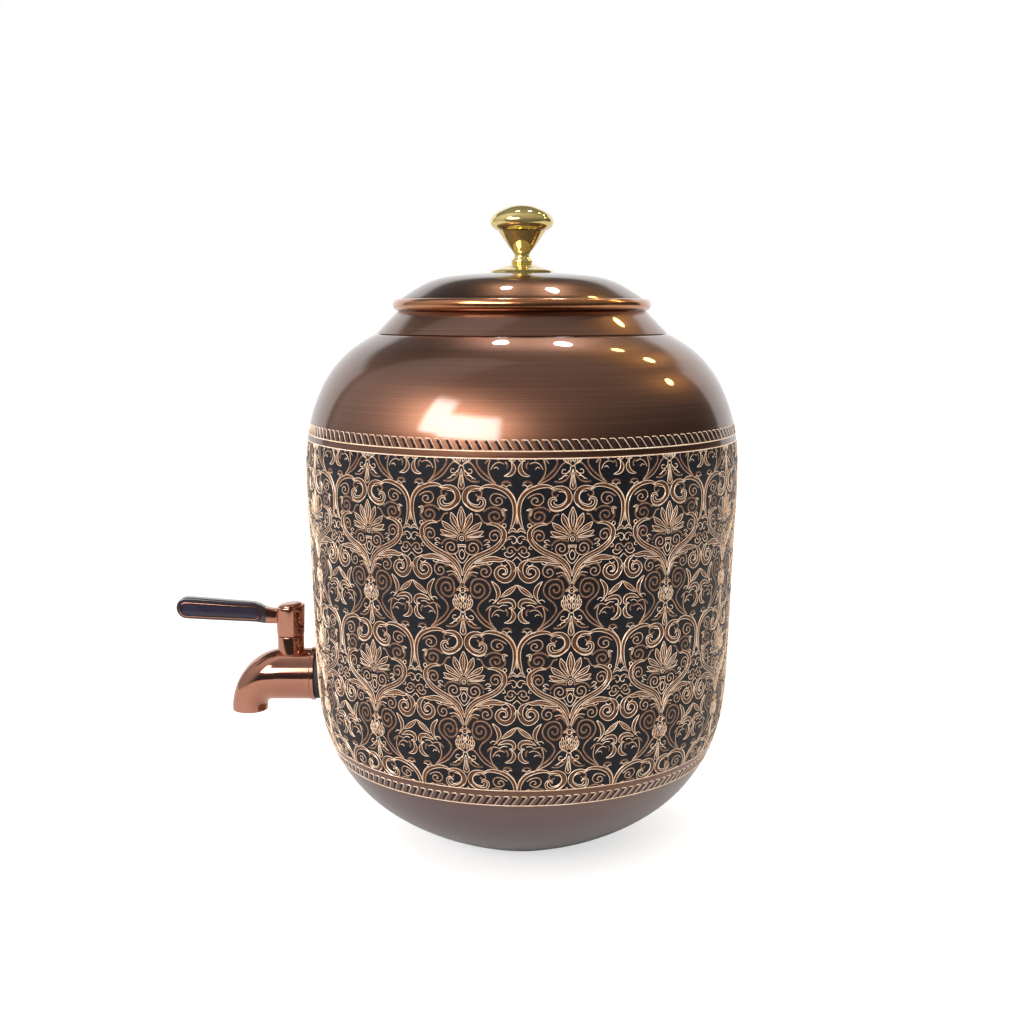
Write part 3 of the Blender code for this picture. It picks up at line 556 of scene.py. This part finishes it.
    ("band", [(6.6, -50.2, 0.2), (6.6, -52.8, 2.4), (5.6, -55.8, 0.2)]),
    ("band", [(0.2, -51.4, 0.2), (0.3, -54.0, 2.0), (0.2, -57.0, 0.2)]),
    ("band", [(4.4, -53.6, 0.2), (4.4, -56.4, 2.4), (3.6, -59.2, 0.2)]),
    ("band", [(8.6, -54.0, 0.2), (8.4, -56.8, 2.2), (7.0, -59.4, 0.2)]),
    ("band", [(1.8, -57.2, 0.2), (1.8, -60.0, 2.2), (1.2, -62.6, 0.2)]),
    ("band", [(6.0, -58.2, 0.2), (5.6, -60.6, 2.2), (4.0, -62.8, 0.2)]),
    ("line", [(9.6, -58.4), (6.6, -62.4), (1.4, -65.0), (0.0, -66.2)]),
]


def design_place(column_scale):
    def place(points, lift):
        angle = points[:, 0] * column_scale
        length = EYE_LENGTH - (points[:, 1] - EYE_HEIGHT) * UNIT
        return on_wall(angle, length, lift)
    return place


def drawn(strokes, mirrored, rails, beds, place, low, high):
    """Adds strokes to the bright lines and the beds, kept between two design heights."""
    for number, (kind, points) in enumerate(strokes):
        rough_length = np.hypot(*np.diff(np.array(points, float)[:, :2], axis=0).T).sum()
        centre = spline(points, max(8, int(rough_length / 0.4)))
        nudge = 0.006 * (number % 7)
        for sign in ((1.0, -1.0) if mirrored else (1.0,)):
            line = centre.copy()
            line[:, 0] *= sign
            lines, beds_here = [], []
            if kind == "band":
                offset = sideways(line) * line[:, 2:3] / 2
                lines = [line[:, :2] + offset, line[:, :2] - offset]
                beds_here = [line]
            else:
                lines = [line[:, :2]]
                if kind == "coil":
                    beds_here = [np.column_stack([line[:, :2], np.full(len(line), 2.9)])]
            for path in lines:
                for run in runs_inside(path, low, high):
                    run = thinned(run)
                    half = np.full(len(run), RAIL_HALF)
                    rails.add(run[:, :2], half, RAIL_TOP - nudge, RAIL_FOOT, place)
            for path in beds_here:
                for run in runs_inside(path, low, high):
                    run = thinned(run, 22.0, 4.0)
                    half = np.maximum(run[:, 2] / 2, 0.15)
                    beds.add(run[:, :2], half, BED_LIFT + 0.07 + nudge, BED_LIFT - 0.1 + nudge, place)


def design_height(length):
    return EYE_HEIGHT + (EYE_LENGTH - length) / UNIT


def etched_column():
    rails, beds = Ridges(), Ridges()
    flat_place = design_place(COLUMN_ANGLE / 2 / HALF_TILE)
    top, foot = design_height(PATTERN_TOP), design_height(PATTERN_FOOT)
    for row in (-1, 0, 1, 2):
        shift = -ROW_UNITS * row

        def place(points, lift, shift=shift):
            moved = points.copy()
            moved[:, 1] += shift
            return flat_place(moved, lift)

        for strokes, mirrored in ((ON_AXIS, False), (MIRRORED, True)):
            drawn(strokes, mirrored, rails, beds, place, foot - shift, top - shift)
    return rails, beds


def ridge_ring(ridges, length, half, top, foot):
    """A ridge right round the pot; half in mm."""
    outline = []
    for offset, lift in ((-half, foot), (0.0, top), (half, foot)):
        p = on_wall(np.array([0.0]), np.array([length + offset]), lift)[0]
        outline.append((-p[1], p[2]))
    points, faces = lathe(outline, FINE, True)
    ridges.points.append(points)
    ridges.faces += [tuple(ridges.count + i for i in f) for f in faces]
    ridges.count += len(points)


column_rails, column_beds = etched_column()
rails_mesh = column_rails.mesh("scroll_lines", BRIGHT)
beds_mesh = column_beds.mesh("scroll_beds", BED)
for k in range(COLUMNS):
    for stem, mesh, slot in (("scroll_lines", rails_mesh, "polished_copper"),
                             ("scroll_beds", beds_mesh, "antique_copper")):
        thing = bpy.data.objects.new(f"{stem}_{k:02d}", mesh)
        thing.rotation_euler = (0.0, 0.0, FIRST_COLUMN + k * COLUMN_ANGLE)
        settled(thing, slot, "vessel")

# The dark ground the scrolls stand on: a thin sleeve sunk in the wall.
sleeve_rows = np.linspace(PATTERN_TOP, PATTERN_FOOT, 90)
sleeve_out = on_wall(np.zeros(90), sleeve_rows, 0.02)
sleeve_in = on_wall(np.zeros(90), sleeve_rows, -0.5)[::-1]
sleeve = [(-p[1], p[2]) for p in np.concatenate([sleeve_out, sleeve_in])]
turned("etched_ground", sleeve, GROUND, "antique_copper", "vessel", steps=FINE, closed=True)

# Plain lines and slanted ropes above and below the scrolls.
SLASHES = 154
borders = Ridges()
cells = Ridges()
for z in (213.3, 210.1, 56.4, 47.9):
    ridge_ring(borders, length_at(z), 0.34, 0.24, -0.1)


def rope(top_z, foot_z, lean):
    """Hooked slashes: a short run along the top, then down with a lean of the pitch."""
    top, foot = length_at(top_z), length_at(foot_z)
    pitch = 2 * pi / SLASHES
    for i in range(SLASHES):
        start = i * pitch
        hook = [(start, top), (start + 0.52 * pitch, top), (start + 0.66 * pitch, top + 0.5),
                (start + (0.66 + lean) * pitch, foot)]
        add_slash(borders, hook, 0.26, 0.22)
        middle = start + (0.36 + lean / 2) * pitch
        cell = [(middle - lean * pitch * 0.42, top + 0.55), (middle + lean * pitch * 0.42, foot - 0.4)]
        add_slash(cells, cell, 1.3, 0.1)


def add_slash(ridges, points, half, top):
    """A ridge through (angle, length) points, half wide in mm on the wall."""
    scale = np.interp(points[0][1], wall_length, wall_down[:, 0])
    line = np.array([(a * scale, s) for a, s in points])

    def place(flat, lift):
        return on_wall(flat[:, 0] / scale, flat[:, 1], lift)

    ridges.add(line, np.full(len(line), half), top, -0.1, place)


rope(218.2, 213.5, 0.62)
rope(53.1, 48.1, -0.75)
settled(bpy.data.objects.new("border_lines", borders.mesh("border_lines", BRIGHT)), "polished_copper",
        "vessel")
settled(bpy.data.objects.new("border_cells", cells.mesh("border_cells", GROUND)), "antique_copper",
        "vessel")


# ---------------------------------------------------------------- lid
dome = [(KNOB_HOLE_R, LID_TOP)] + pairs(spline(LID_OUTLINE, 40))
under = pairs(moved_off(spline(LID_OUTLINE, 40), -1.0)[::-1])
bead = pairs(arc(BEAD_CENTRE, BEAD_R, 105, -190, 28))
lid_line = dome + bead + under + [(KNOB_HOLE_R, LID_TOP - 1.0)]
# A thin shell over the lid's rolled bead carries its painted reflection: a brighter copper than the lid
# it is rolled from.
painted_bead_shell = pairs(arc(BEAD_CENTRE, BEAD_R + 0.4, 90, -270, 48)[:-1])
turned("lid_bead_painted_reflection", painted_bead_shell, BEAD_PAINTED_REFLECTION, "polished_copper", "lid", "lid_dome", steps=FINE,
       closed=True)
turned("lid_dome_fine", lid_line, LID_COPPER, "polished_copper", "lid", "lid_dome", steps=FINE,
       closed=True)
ring_line = softened([(53.0, 282.5), (54.0, 282.5), (54.0, 266.5), (53.0, 266.5)], 0.3)
turned("lid_locating_ring_fine", ring_line, LID_COPPER, "polished_copper", "lid", "lid_locating_ring",
       steps=FINE, closed=True)

# ---------------------------------------------------------------- knob
base_line = [(KNOB_HOLE_R, 6.6), (4.2, 6.6)] + pairs(arc((4.0, 5.1), 1.4, 80, -60, 14))
base_line += pairs(spline([(4.9, 4.0), (6.2, 3.7), (8.6, 2.95), (12.4, 1.7), (15.3, 0.9)], 24))
base_line += [(15.8, 0.5), (15.8, -0.25), (KNOB_HOLE_R, -0.25)]
turned("knob_base_fine", base_line, BRASS, "polished_brass", "lid", "knob_base", steps=128, closed=True,
       at=(0, 0, KNOB_Z))
cone = pairs(spline([(4.3, 6.65), (3.8, 8.0), (5.6, 11.4), (9.2, 16.4), (11.9, 20.4)], 40))[::-1]
stem_line = [(0, 23.4), (4.0, 23.4), (4.0, 20.4)] + cone + [(2.4, 6.65), (2.4, 14.0), (0, 14.0)]
turned("knob_stem_fine", stem_line, BRASS, "polished_brass", "lid", "knob_stem", steps=128,
       at=(0, 0, KNOB_Z))
HEAD = [(0.0, 33.3), (5.4, 32.7), (10.9, 30.6), (14.8, 27.8), (16.0, 25.1), (15.2, 22.8), (12.5, 20.7)]
head_line = pairs(spline(HEAD, 60))
head_line[0] = (0.0, 33.3)
head_line += [(4.3, 20.7), (4.3, 23.7), (0, 23.7)]
turned("knob_cap_fine", head_line, BRASS, "polished_brass", "lid", "knob_cap", steps=128,
       at=(0, 0, KNOB_Z))


# ---------------------------------------------------------------- tap body
def loft(name, sections, material, slot, body, *nodes, steps=96, sharp=35.0):
    """A closed skin over round sections (x, z, tilt, in-plane radius, side radius).
    tilt is the direction of the section's in-plane radius, in degrees from +X."""
    turns = np.linspace(0, 2 * pi, steps, endpoint=False)
    sideways = np.array([0, 1, 0])
    points, faces = [], []
    for x, z, tilt, up, out in sections:
        across = np.array([cos(radians(tilt)), 0.0, sin(radians(tilt))])
        for t in turns:
            points.append(np.array([x, 0.0, z]) + across * up * cos(t) + sideways * out * sin(t))
    for k in range(len(sections) - 1):
        for i in range(steps):
            j = (i + 1) % steps
            faces.append((k * steps + i, k * steps + j, (k + 1) * steps + j, (k + 1) * steps + i))
    last = (len(sections) - 1) * steps
    faces.append(tuple(range(steps))[::-1])
    faces.append(tuple(range(last, last + steps)))
    return piece(name, points, faces, material, slot, body, *nodes, sharp=sharp)


def tap_sections():
    """From inside the pot, along the threaded shank and barrel, round the bend, and up the bore."""
    made = [(-98.0, BARREL_Z, 90, 5.0, 5.0), (SHANK_END_X, BARREL_Z, 90, 5.0, 5.0),
            (SHANK_END_X, BARREL_Z, 90, 9.4, 9.4)]
    for x in np.arange(-88.6, -108.1, -0.45):
        thread = 9.95 - 0.45 * (round((-x - 88.6) / 0.45) % 2)
        made.append((x, BARREL_Z, 90, thread, thread))
    face = [(-108.4, 9.7), (FACE_X, 9.7), (FACE_X, 13.7), (-108.8, 14.1), (-110.6, 14.1), (-111.0, 13.5)]
    made += [(x, BARREL_Z, 90, r, r) for x, r in face]
    made += [(x, BARREL_Z, 90, BARREL_R, BARREL_R) for x in np.linspace(-112.5, -124.0, 8)]
    # The bend: each section joins a point on the inner corner's round to one on the outer ellipse.
    inside_round = arc((-131.9, 67.1), 3.0, 90, 180, 30)
    level = pi / 2 - 0.0938        # where the outer curve is as low as the end of the corner's round
    outside = [(-125.0 - 28.7 * sin(t), 64.0 + 33.1 * cos(t)) for t in np.linspace(0, level, 31)]
    for i, (near, far) in enumerate(zip(inside_round, outside)):
        middle = (near + np.array(far)) / 2
        gap = np.array(far) - near
        reach = np.hypot(*gap) / 2
        share = i / 30
        side = BARREL_R + (9.0 - BARREL_R) * (share * share * (3 - 2 * share))
        made.append((middle[0], middle[1], np.degrees(atan2(gap[1], gap[0])), reach, side))
    x, z = OUTLET
    made += [(x - 0.4, z + 1.2, 180, 9.3, 9.0), (x - 0.4, z + 0.4, 180, 9.25, 8.95),
             (x - 0.4, z, 180, 8.9, 8.6), (x - 0.4, z, 180, 7.3, 7.1), (x - 0.3, z + 0.4, 180, 7.0, 6.8),
             (x, 72.0, 180, 6.6, 6.6), (-142.4, 78.0, 160, 6.0, 6.0)]
    return made


loft("tap_body_fine", tap_sections(), ROSE, "rose_copper_plate", "vessel", "tap_body")
bonnet_line = softened([(3.1, BONNET_TOP), (6.9, BONNET_TOP), (6.9, 90.0), (3.1, 90.0)], 0.35,
                       keep=(2, 3))
turned("tap_bonnet_fine", bonnet_line, ROSE, "rose_copper_plate", "vessel", "tap_bonnet", steps=96,
       closed=True, at=(STEM_X, 0, 0))


def gasket_points():
    """The outer gasket: its back follows the wall, its front the tap's face."""
    steps = 96
    turns = np.linspace(0, 2 * pi, steps, endpoint=False)
    wall_r = spline(VESSEL_OUTLINE, 1600)
    points = []
    for radius, at_wall in ((10.4, True), (12.9, True), (13.2, True), (13.2, False), (12.9, False),
                            (10.4, False)):
        for t in turns:
            y, z = radius * sin(t), BARREL_Z + radius * cos(t)
            r = float(np.interp(z, wall_r[:, 1], wall_r[:, 0]))
            wall_x = -np.sqrt(max(r * r - y * y, 0.0)) - 0.02
            inset = 0.25 if radius == 13.2 else 0.0
            x = wall_x - inset if at_wall else FACE_X + 0.05 + inset
            points.append((x, y, z))
    faces = []
    for k in range(6):
        for i in range(steps):
            j = (i + 1) % steps
            n = (k + 1) % 6
            faces.append((k * steps + i, k * steps + j, n * steps + j, n * steps + i))
    return points, faces


gasket_mesh_points, gasket_faces = gasket_points()
piece("tap_gasket_fine", gasket_mesh_points, gasket_faces, RUBBER, "black_rubber", "vessel",
      "tap_gasket_outer")


# ---------------------------------------------------------------- lever
def tilted_cylinder(name, radius, foot, top, hollow_r, hollow_top, material, slot, body, *nodes):
    """The hub: an upright tube with a slanted top, its edges rounded."""
    slope = sin(HUB_TILT)
    outline = [(0, top - 1.2), (4.9, top - 1.2), (4.9, top - 0.2), (5.1, top), (radius - 0.5, top),
               (radius - 0.15, top - 0.15), (radius, top - 0.5)]
    foot_r = radius - 0.45
    outline += list(zip(np.linspace(radius, foot_r, 8), np.linspace(top - 1.5, foot + 0.5, 8)))
    outline += [(foot_r - 0.15, foot + 0.15), (foot_r - 0.5, foot), (hollow_r, foot),
                (hollow_r, hollow_top), (0, hollow_top)]
    points, faces = lathe(outline, 96, False)
    share = np.clip((points[:, 2] - foot) / (top - foot), 0, 1)
    points[:, 2] += points[:, 0] * slope * (share > 0.05) * share
    return piece(name, points + np.array([STEM_X, 0, 0]), faces, material, slot, body, *nodes)


tilted_cylinder("lever_hub", 7.6, HUB_FOOT, HUB_TOP, 3.1, 114.2, ROSE, "rose_copper_plate", "lever",
                "lever_handle")


def as_piece(curve_points, half, y, bevel, name):
    """A plate standing in the XZ plane from an outline of (x, z), with rounded edges."""
    cage = bmesh.new()
    front = [cage.verts.new((x * MM, (y - half) * MM, z * MM)) for x, z in curve_points]
    face = cage.faces.new(front)
    grown = bmesh.ops.extrude_face_region(cage, geom=[face])
    moved = [v for v in grown["geom"] if isinstance(v, bmesh.types.BMVert)]
    bmesh.ops.translate(cage, verts=moved, vec=(0, 2 * half * MM, 0))
    bmesh.ops.recalc_face_normals(cage, faces=cage.faces)
    if bevel:
        rims = [e for e in cage.edges if abs(e.verts[0].co.y - e.verts[1].co.y) < 1e-7]
        bmesh.ops.bevel(cage, geom=rims, offset=bevel * MM, segments=5, profile=0.5, affect="EDGES")
    mesh = bpy.data.meshes.new(name)
    cage.to_mesh(mesh)
    cage.free()
    return bpy.data.objects.new(name, mesh)


def applied_cut(target, tools):
    """The target with each tool cut out of it."""
    SCENE.collection.objects.link(target)
    for tool in tools:
        SCENE.collection.objects.link(tool)
        step = target.modifiers.new("Cut", "BOOLEAN")
        step.operation = "DIFFERENCE"
        step.solver = "EXACT"
        step.object = tool
    view = bpy.context.evaluated_depsgraph_get()
    view.update()
    mesh = bpy.data.meshes.new_from_object(target.evaluated_get(view))
    target.modifiers.clear()
    target.data = mesh
    for tool in tools:
        bpy.data.objects.remove(tool, do_unlink=True)
    return target


def from_stem(points):
    return [(x + STEM_X, z) for x, z in points]


paddle_line = [(-4.0, 111.0), (-10.0, 111.05)]
paddle_line += pairs(spline([(-12.5, 111.15), (-15.2, 111.5), (-17.8, 111.9)], 6))
paddle_line += [(-30.0, 112.45), (-42.0, 113.0), (-51.5, 113.5)]
paddle_line += pairs(arc(TIP, TIP_R, 262, 98, 36))
paddle_line += [(-51.5, 124.8), (-42.0, 124.05), (-30.0, 123.1), (-20.5, 122.4)]
neck_top = [(-19.0, 122.25), (-17.0, 121.7), (-15.0, 120.8), (-12.7, 119.6), (-10.0, 118.9),
            (-4.3, 118.6)]
paddle_line += pairs(spline(neck_top, 16))
paddle = as_piece(from_stem(paddle_line), LEVER_HALF, 0.0, 0.9, "lever_paddle")


def grip_outline(inset):
    """The grip's tapered shape with rounded ends; inset shrinks it all round."""
    line = pairs(arc(GRIP_TIP, GRIP_TIP_R - inset, 262, 98, 28))
    line += pairs(arc((-18.2, 117.8), GRIP_CORNER_R - inset, 86, 4, 10))
    line += pairs(arc((-18.2, 115.3), GRIP_CORNER_R - inset, -4, -86, 10))
    return line


recesses = [as_piece(from_stem(grip_outline(0.0)), 1.0, s * (LEVER_HALF + 1.0 - GRIP_DEPTH), 0.0,
                     f"recess_{s}")
            for s in (-1, 1)]
applied_cut(paddle, recesses)


def dressed(thing, material, slot, body, *nodes):
    """Smooth shading, a material, and a place on a body for a piece made of plates."""
    thing.data.materials.clear()
    thing.data.materials.append(material)
    thing.data.polygons.foreach_set("use_smooth", [True] * len(thing.data.polygons))
    thing.data.set_sharp_from_angle(angle=radians(30))
    return settled(thing, slot, body, *nodes)


def side_of(source, x, keep_far, name):
    """The part of a closed mesh on one side of a plane across the lever, its cut filled."""
    cage = bmesh.new()
    cage.from_mesh(source.data)
    whole = cage.verts[:] + cage.edges[:] + cage.faces[:]
    bmesh.ops.bisect_plane(cage, geom=whole, plane_co=(x * MM, 0, 0), plane_no=(1, 0, 0),
                           clear_outer=keep_far, clear_inner=not keep_far)
    bmesh.ops.holes_fill(cage, edges=[e for e in cage.edges if e.is_boundary])
    mesh = bpy.data.meshes.new(name)
    cage.to_mesh(mesh)
    cage.free()
    return bpy.data.objects.new(name, mesh)


GRIP_START = STEM_X - 12.6
dressed(side_of(paddle, GRIP_START, True, "lever_paddle_grip"), DARK_GRIP, "grip_enamel", "lever",
        "lever_handle")
dressed(side_of(paddle, GRIP_START, False, "lever_neck"), ROSE, "rose_copper_plate", "lever",
        "lever_handle")
bpy.data.objects.remove(paddle, do_unlink=True)

for side, name in ((-1, "front"), (1, "back")):
    floor_y = side * (LEVER_HALF - GRIP_DEPTH)
    inlay = as_piece(from_stem(grip_outline(0.8)), 0.4, floor_y + side * 0.2, 0.15,
                     "lever_grip_" + name + "_fine")
    dressed(inlay, ENAMEL, "grip_enamel", "lever", "lever_grip_" + name)
    trim = as_piece(from_stem(grip_outline(0.05)), 0.55, floor_y + side * 0.55, 0.26,
                    "lever_grip_trim_" + name)
    hole = as_piece(from_stem(grip_outline(0.65)), 2.0, side * LEVER_HALF, 0.0, "trim_hole")
    dressed(applied_cut(trim, [hole]), ROSE, "rose_copper_plate", "lever")

cap_line = [(0, 1.5), (3.0, 1.48), (4.6, 1.4), (5.4, 1.2), (5.9, 0.85), (6.1, 0.4), (6.0, 0.05),
            (4.4, 0.05), (4.4, -0.9), (0, -0.9)]
turned("lever_cap_fine", cap_line, ROSE, "rose_copper_plate", "lever", "lever_cap", steps=96,
       at=(STEM_X, 0, HUB_TOP), shear=sin(HUB_TILT))


# ---------------------------------------------------------------- carried-over CAD nodes
CARRIED = {
    "tap_gasket_inner": RUBBER, "stem_packing": RUBBER, "tap_washer": STEEL, "lever_screw": STEEL,
    "knob_washer": STEEL, "knob_screw": STEEL, "tap_lock_nut": PLAIN_BRASS, "valve_plug": PLAIN_BRASS,
    "valve_stem": PLAIN_BRASS, "valve_seat_inlet": PTFE, "valve_seat_outlet": PTFE,
}
for name, material in CARRIED.items():
    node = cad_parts[name]
    for place_in_list in range(len(node.material_slots)):
        node.material_slots[place_in_list].material = material


# ---------------------------------------------------------------- floor, light and camera
floor_mesh = bpy.data.meshes.new("floor")
floor_edge = [(-3.0, -0.42, 0.0), (3.0, -0.42, 0.0), (3.0, 4.0, 0.0), (-3.0, 4.0, 0.0)]
floor_mesh.from_pydata(floor_edge, [], [(0, 1, 2, 3)])
floor = bpy.data.objects.new("floor", floor_mesh)
floor.location.z = -0.0004
SCENE.collection.objects.link(floor)
pale = bpy.data.materials.new("pale_floor")
pale.use_nodes = True
pale_shader = pale.node_tree.nodes["Principled BSDF"]
pale_shader.inputs["Base Color"].default_value = (0.42, 0.41, 0.4, 1.0)
pale_shader.inputs["Roughness"].default_value = 0.8
pale_shader.inputs["Specular IOR Level"].default_value = 0.1
pale_shader.inputs["Emission Color"].default_value = (1.0, 1.0, 1.0, 1.0)
pale_ray = pale.node_tree.nodes.new("ShaderNodeLightPath")
pale_lift = pale.node_tree.nodes.new("ShaderNodeMath")
pale_lift.operation = "MULTIPLY"
pale_lift.inputs[1].default_value = 0.62
pale.node_tree.links.new(pale_ray.outputs["Is Camera Ray"], pale_lift.inputs[0])
pale.node_tree.links.new(pale_lift.outputs[0], pale_shader.inputs["Emission Strength"])
floor_mesh.materials.append(pale)


def studio_world():
    """White to the camera; for light and reflections, a white backdrop low behind, a dim room, a
    faint ceiling, a pale left side and an L-shaped window ahead to the left."""
    world = bpy.data.worlds.new("studio")
    SCENE.world = world
    world.use_nodes = True
    tree = world.node_tree
    add = node_tool(tree)
    background = tree.nodes["Background"]
    way = add("ShaderNodeTexCoord").outputs["Generated"]
    part = add("ShaderNodeSeparateXYZ", {0: way})
    x, y, z = part.outputs[0], part.outputs[1], part.outputs[2]

    def calc(operation, first, second=0.0):
        return add("ShaderNodeMath", {0: first, 1: second}, operation=operation).outputs[0]

    def ramp(value, start, end, low=0.0, high=1.0):
        ends = {"Value": value, "From Min": start, "From Max": end, "To Min": low, "To Max": high}
        return add("ShaderNodeMapRange", ends, interpolation_type="SMOOTHSTEP").outputs[0]

    azimuth = calc("MULTIPLY", calc("ARCTAN2", x, calc("MULTIPLY", y, -1.0)), 180 / pi)
    elevation = calc("MULTIPLY", calc("ARCSINE", z), 180 / pi)
    turn = calc("ABSOLUTE", azimuth)
    backdrop = calc("MULTIPLY", ramp(turn, 126, 131), ramp(elevation, 34, 27))
    ceiling = ramp(elevation, 50, 80, 0.0, 0.14)
    sides = calc("MULTIPLY", ramp(azimuth, -50, -75, 0.0, 0.4), ramp(elevation, -25, 0))
    sides = calc("MULTIPLY", sides, ramp(azimuth, -128, -118))
    front_room = calc("MULTIPLY", ramp(elevation, 0, 50, 0.05, 0.3), ramp(turn, 90, 130, 1.0, 0.35))
    room = calc("ADD", calc("ADD", front_room, ceiling), sides)
    tall = calc("MULTIPLY", ramp(azimuth, -60, -55), ramp(azimuth, -39, -45))
    tall = calc("MULTIPLY", tall, calc("MULTIPLY", ramp(elevation, 19, 22), ramp(elevation, 48, 40)))
    low = calc("MULTIPLY", ramp(azimuth, -49, -44), ramp(azimuth, -9, -15))
    low = calc("MULTIPLY", low, calc("MULTIPLY", ramp(elevation, 17, 20), ramp(elevation, 38, 32)))
    window = calc("MAXIMUM", tall, low)
    light = calc("ADD", calc("MULTIPLY", backdrop, 0.95), room)
    light = calc("ADD", light, calc("MULTIPLY", window, 14.0))
    path = add("ShaderNodeLightPath")
    soft_sides = calc("ADD", ramp(azimuth, -5, -60, 1.15, 1.75), ramp(azimuth, 20, 60, 0.0, 0.35))
    soft = calc("MULTIPLY", ramp(elevation, -8, 4), soft_sides)
    light = add("ShaderNodeMix", {0: path.outputs["Is Diffuse Ray"], 2: light, 3: soft}).outputs[0]
    strength = add("ShaderNodeMix", {0: path.outputs["Is Camera Ray"], 2: light, 3: 1.0}).outputs[0]
    tree.links.new(strength, background.inputs["Strength"])
    background.inputs["Color"].default_value = (1.0, 1.0, 1.0, 1.0)


studio_world()


def lamp(name, way, distance, size, power, colour=(1.0, 1.0, 1.0)):
    """A round lamp in a direction from the pot's shoulder, facing it."""
    data = bpy.data.lights.new(name, "AREA")
    data.shape = "DISK"
    data.size = size
    data.energy = power
    data.color = colour
    thing = bpy.data.objects.new(name, data)
    direction = Vector(way).normalized()
    thing.location = Vector((0, 0, 0.25)) + direction * distance
    thing.rotation_euler = direction.to_track_quat("Z", "Y").to_euler()
    SCENE.collection.objects.link(thing)
    return thing


lamp("ceiling_lamp_left", (-0.085, 0.45, 0.89), 1.7, 0.11, 2.0)
lamp("ceiling_lamp_right", (0.168, 0.45, 0.88), 1.7, 0.13, 2.6)
lamp("warm_lamp_a", (0.395, 0.47, 0.785), 1.7, 0.12, 1.1, (1.0, 0.8, 0.25))
lamp("warm_lamp_b", (0.57, 0.42, 0.68), 1.7, 0.14, 1.6, (1.0, 0.8, 0.3))
lamp("warm_lamp_c", (0.78, 0.25, 0.54), 1.7, 0.14, 1.6, (1.0, 0.8, 0.3))

camera_data = bpy.data.cameras.new("camera")
camera_data.lens = 46.6
camera_data.sensor_width = 36.0
camera_data.clip_start = 0.05
camera = bpy.data.objects.new("camera", camera_data)
camera.location = (0.0, -0.682, 0.2738)
camera.rotation_euler = (radians(90 - 8.64), 0.0, radians(0.42))
SCENE.collection.objects.link(camera)
SCENE.camera = camera
SCENE.view_settings.view_transform = "Standard"
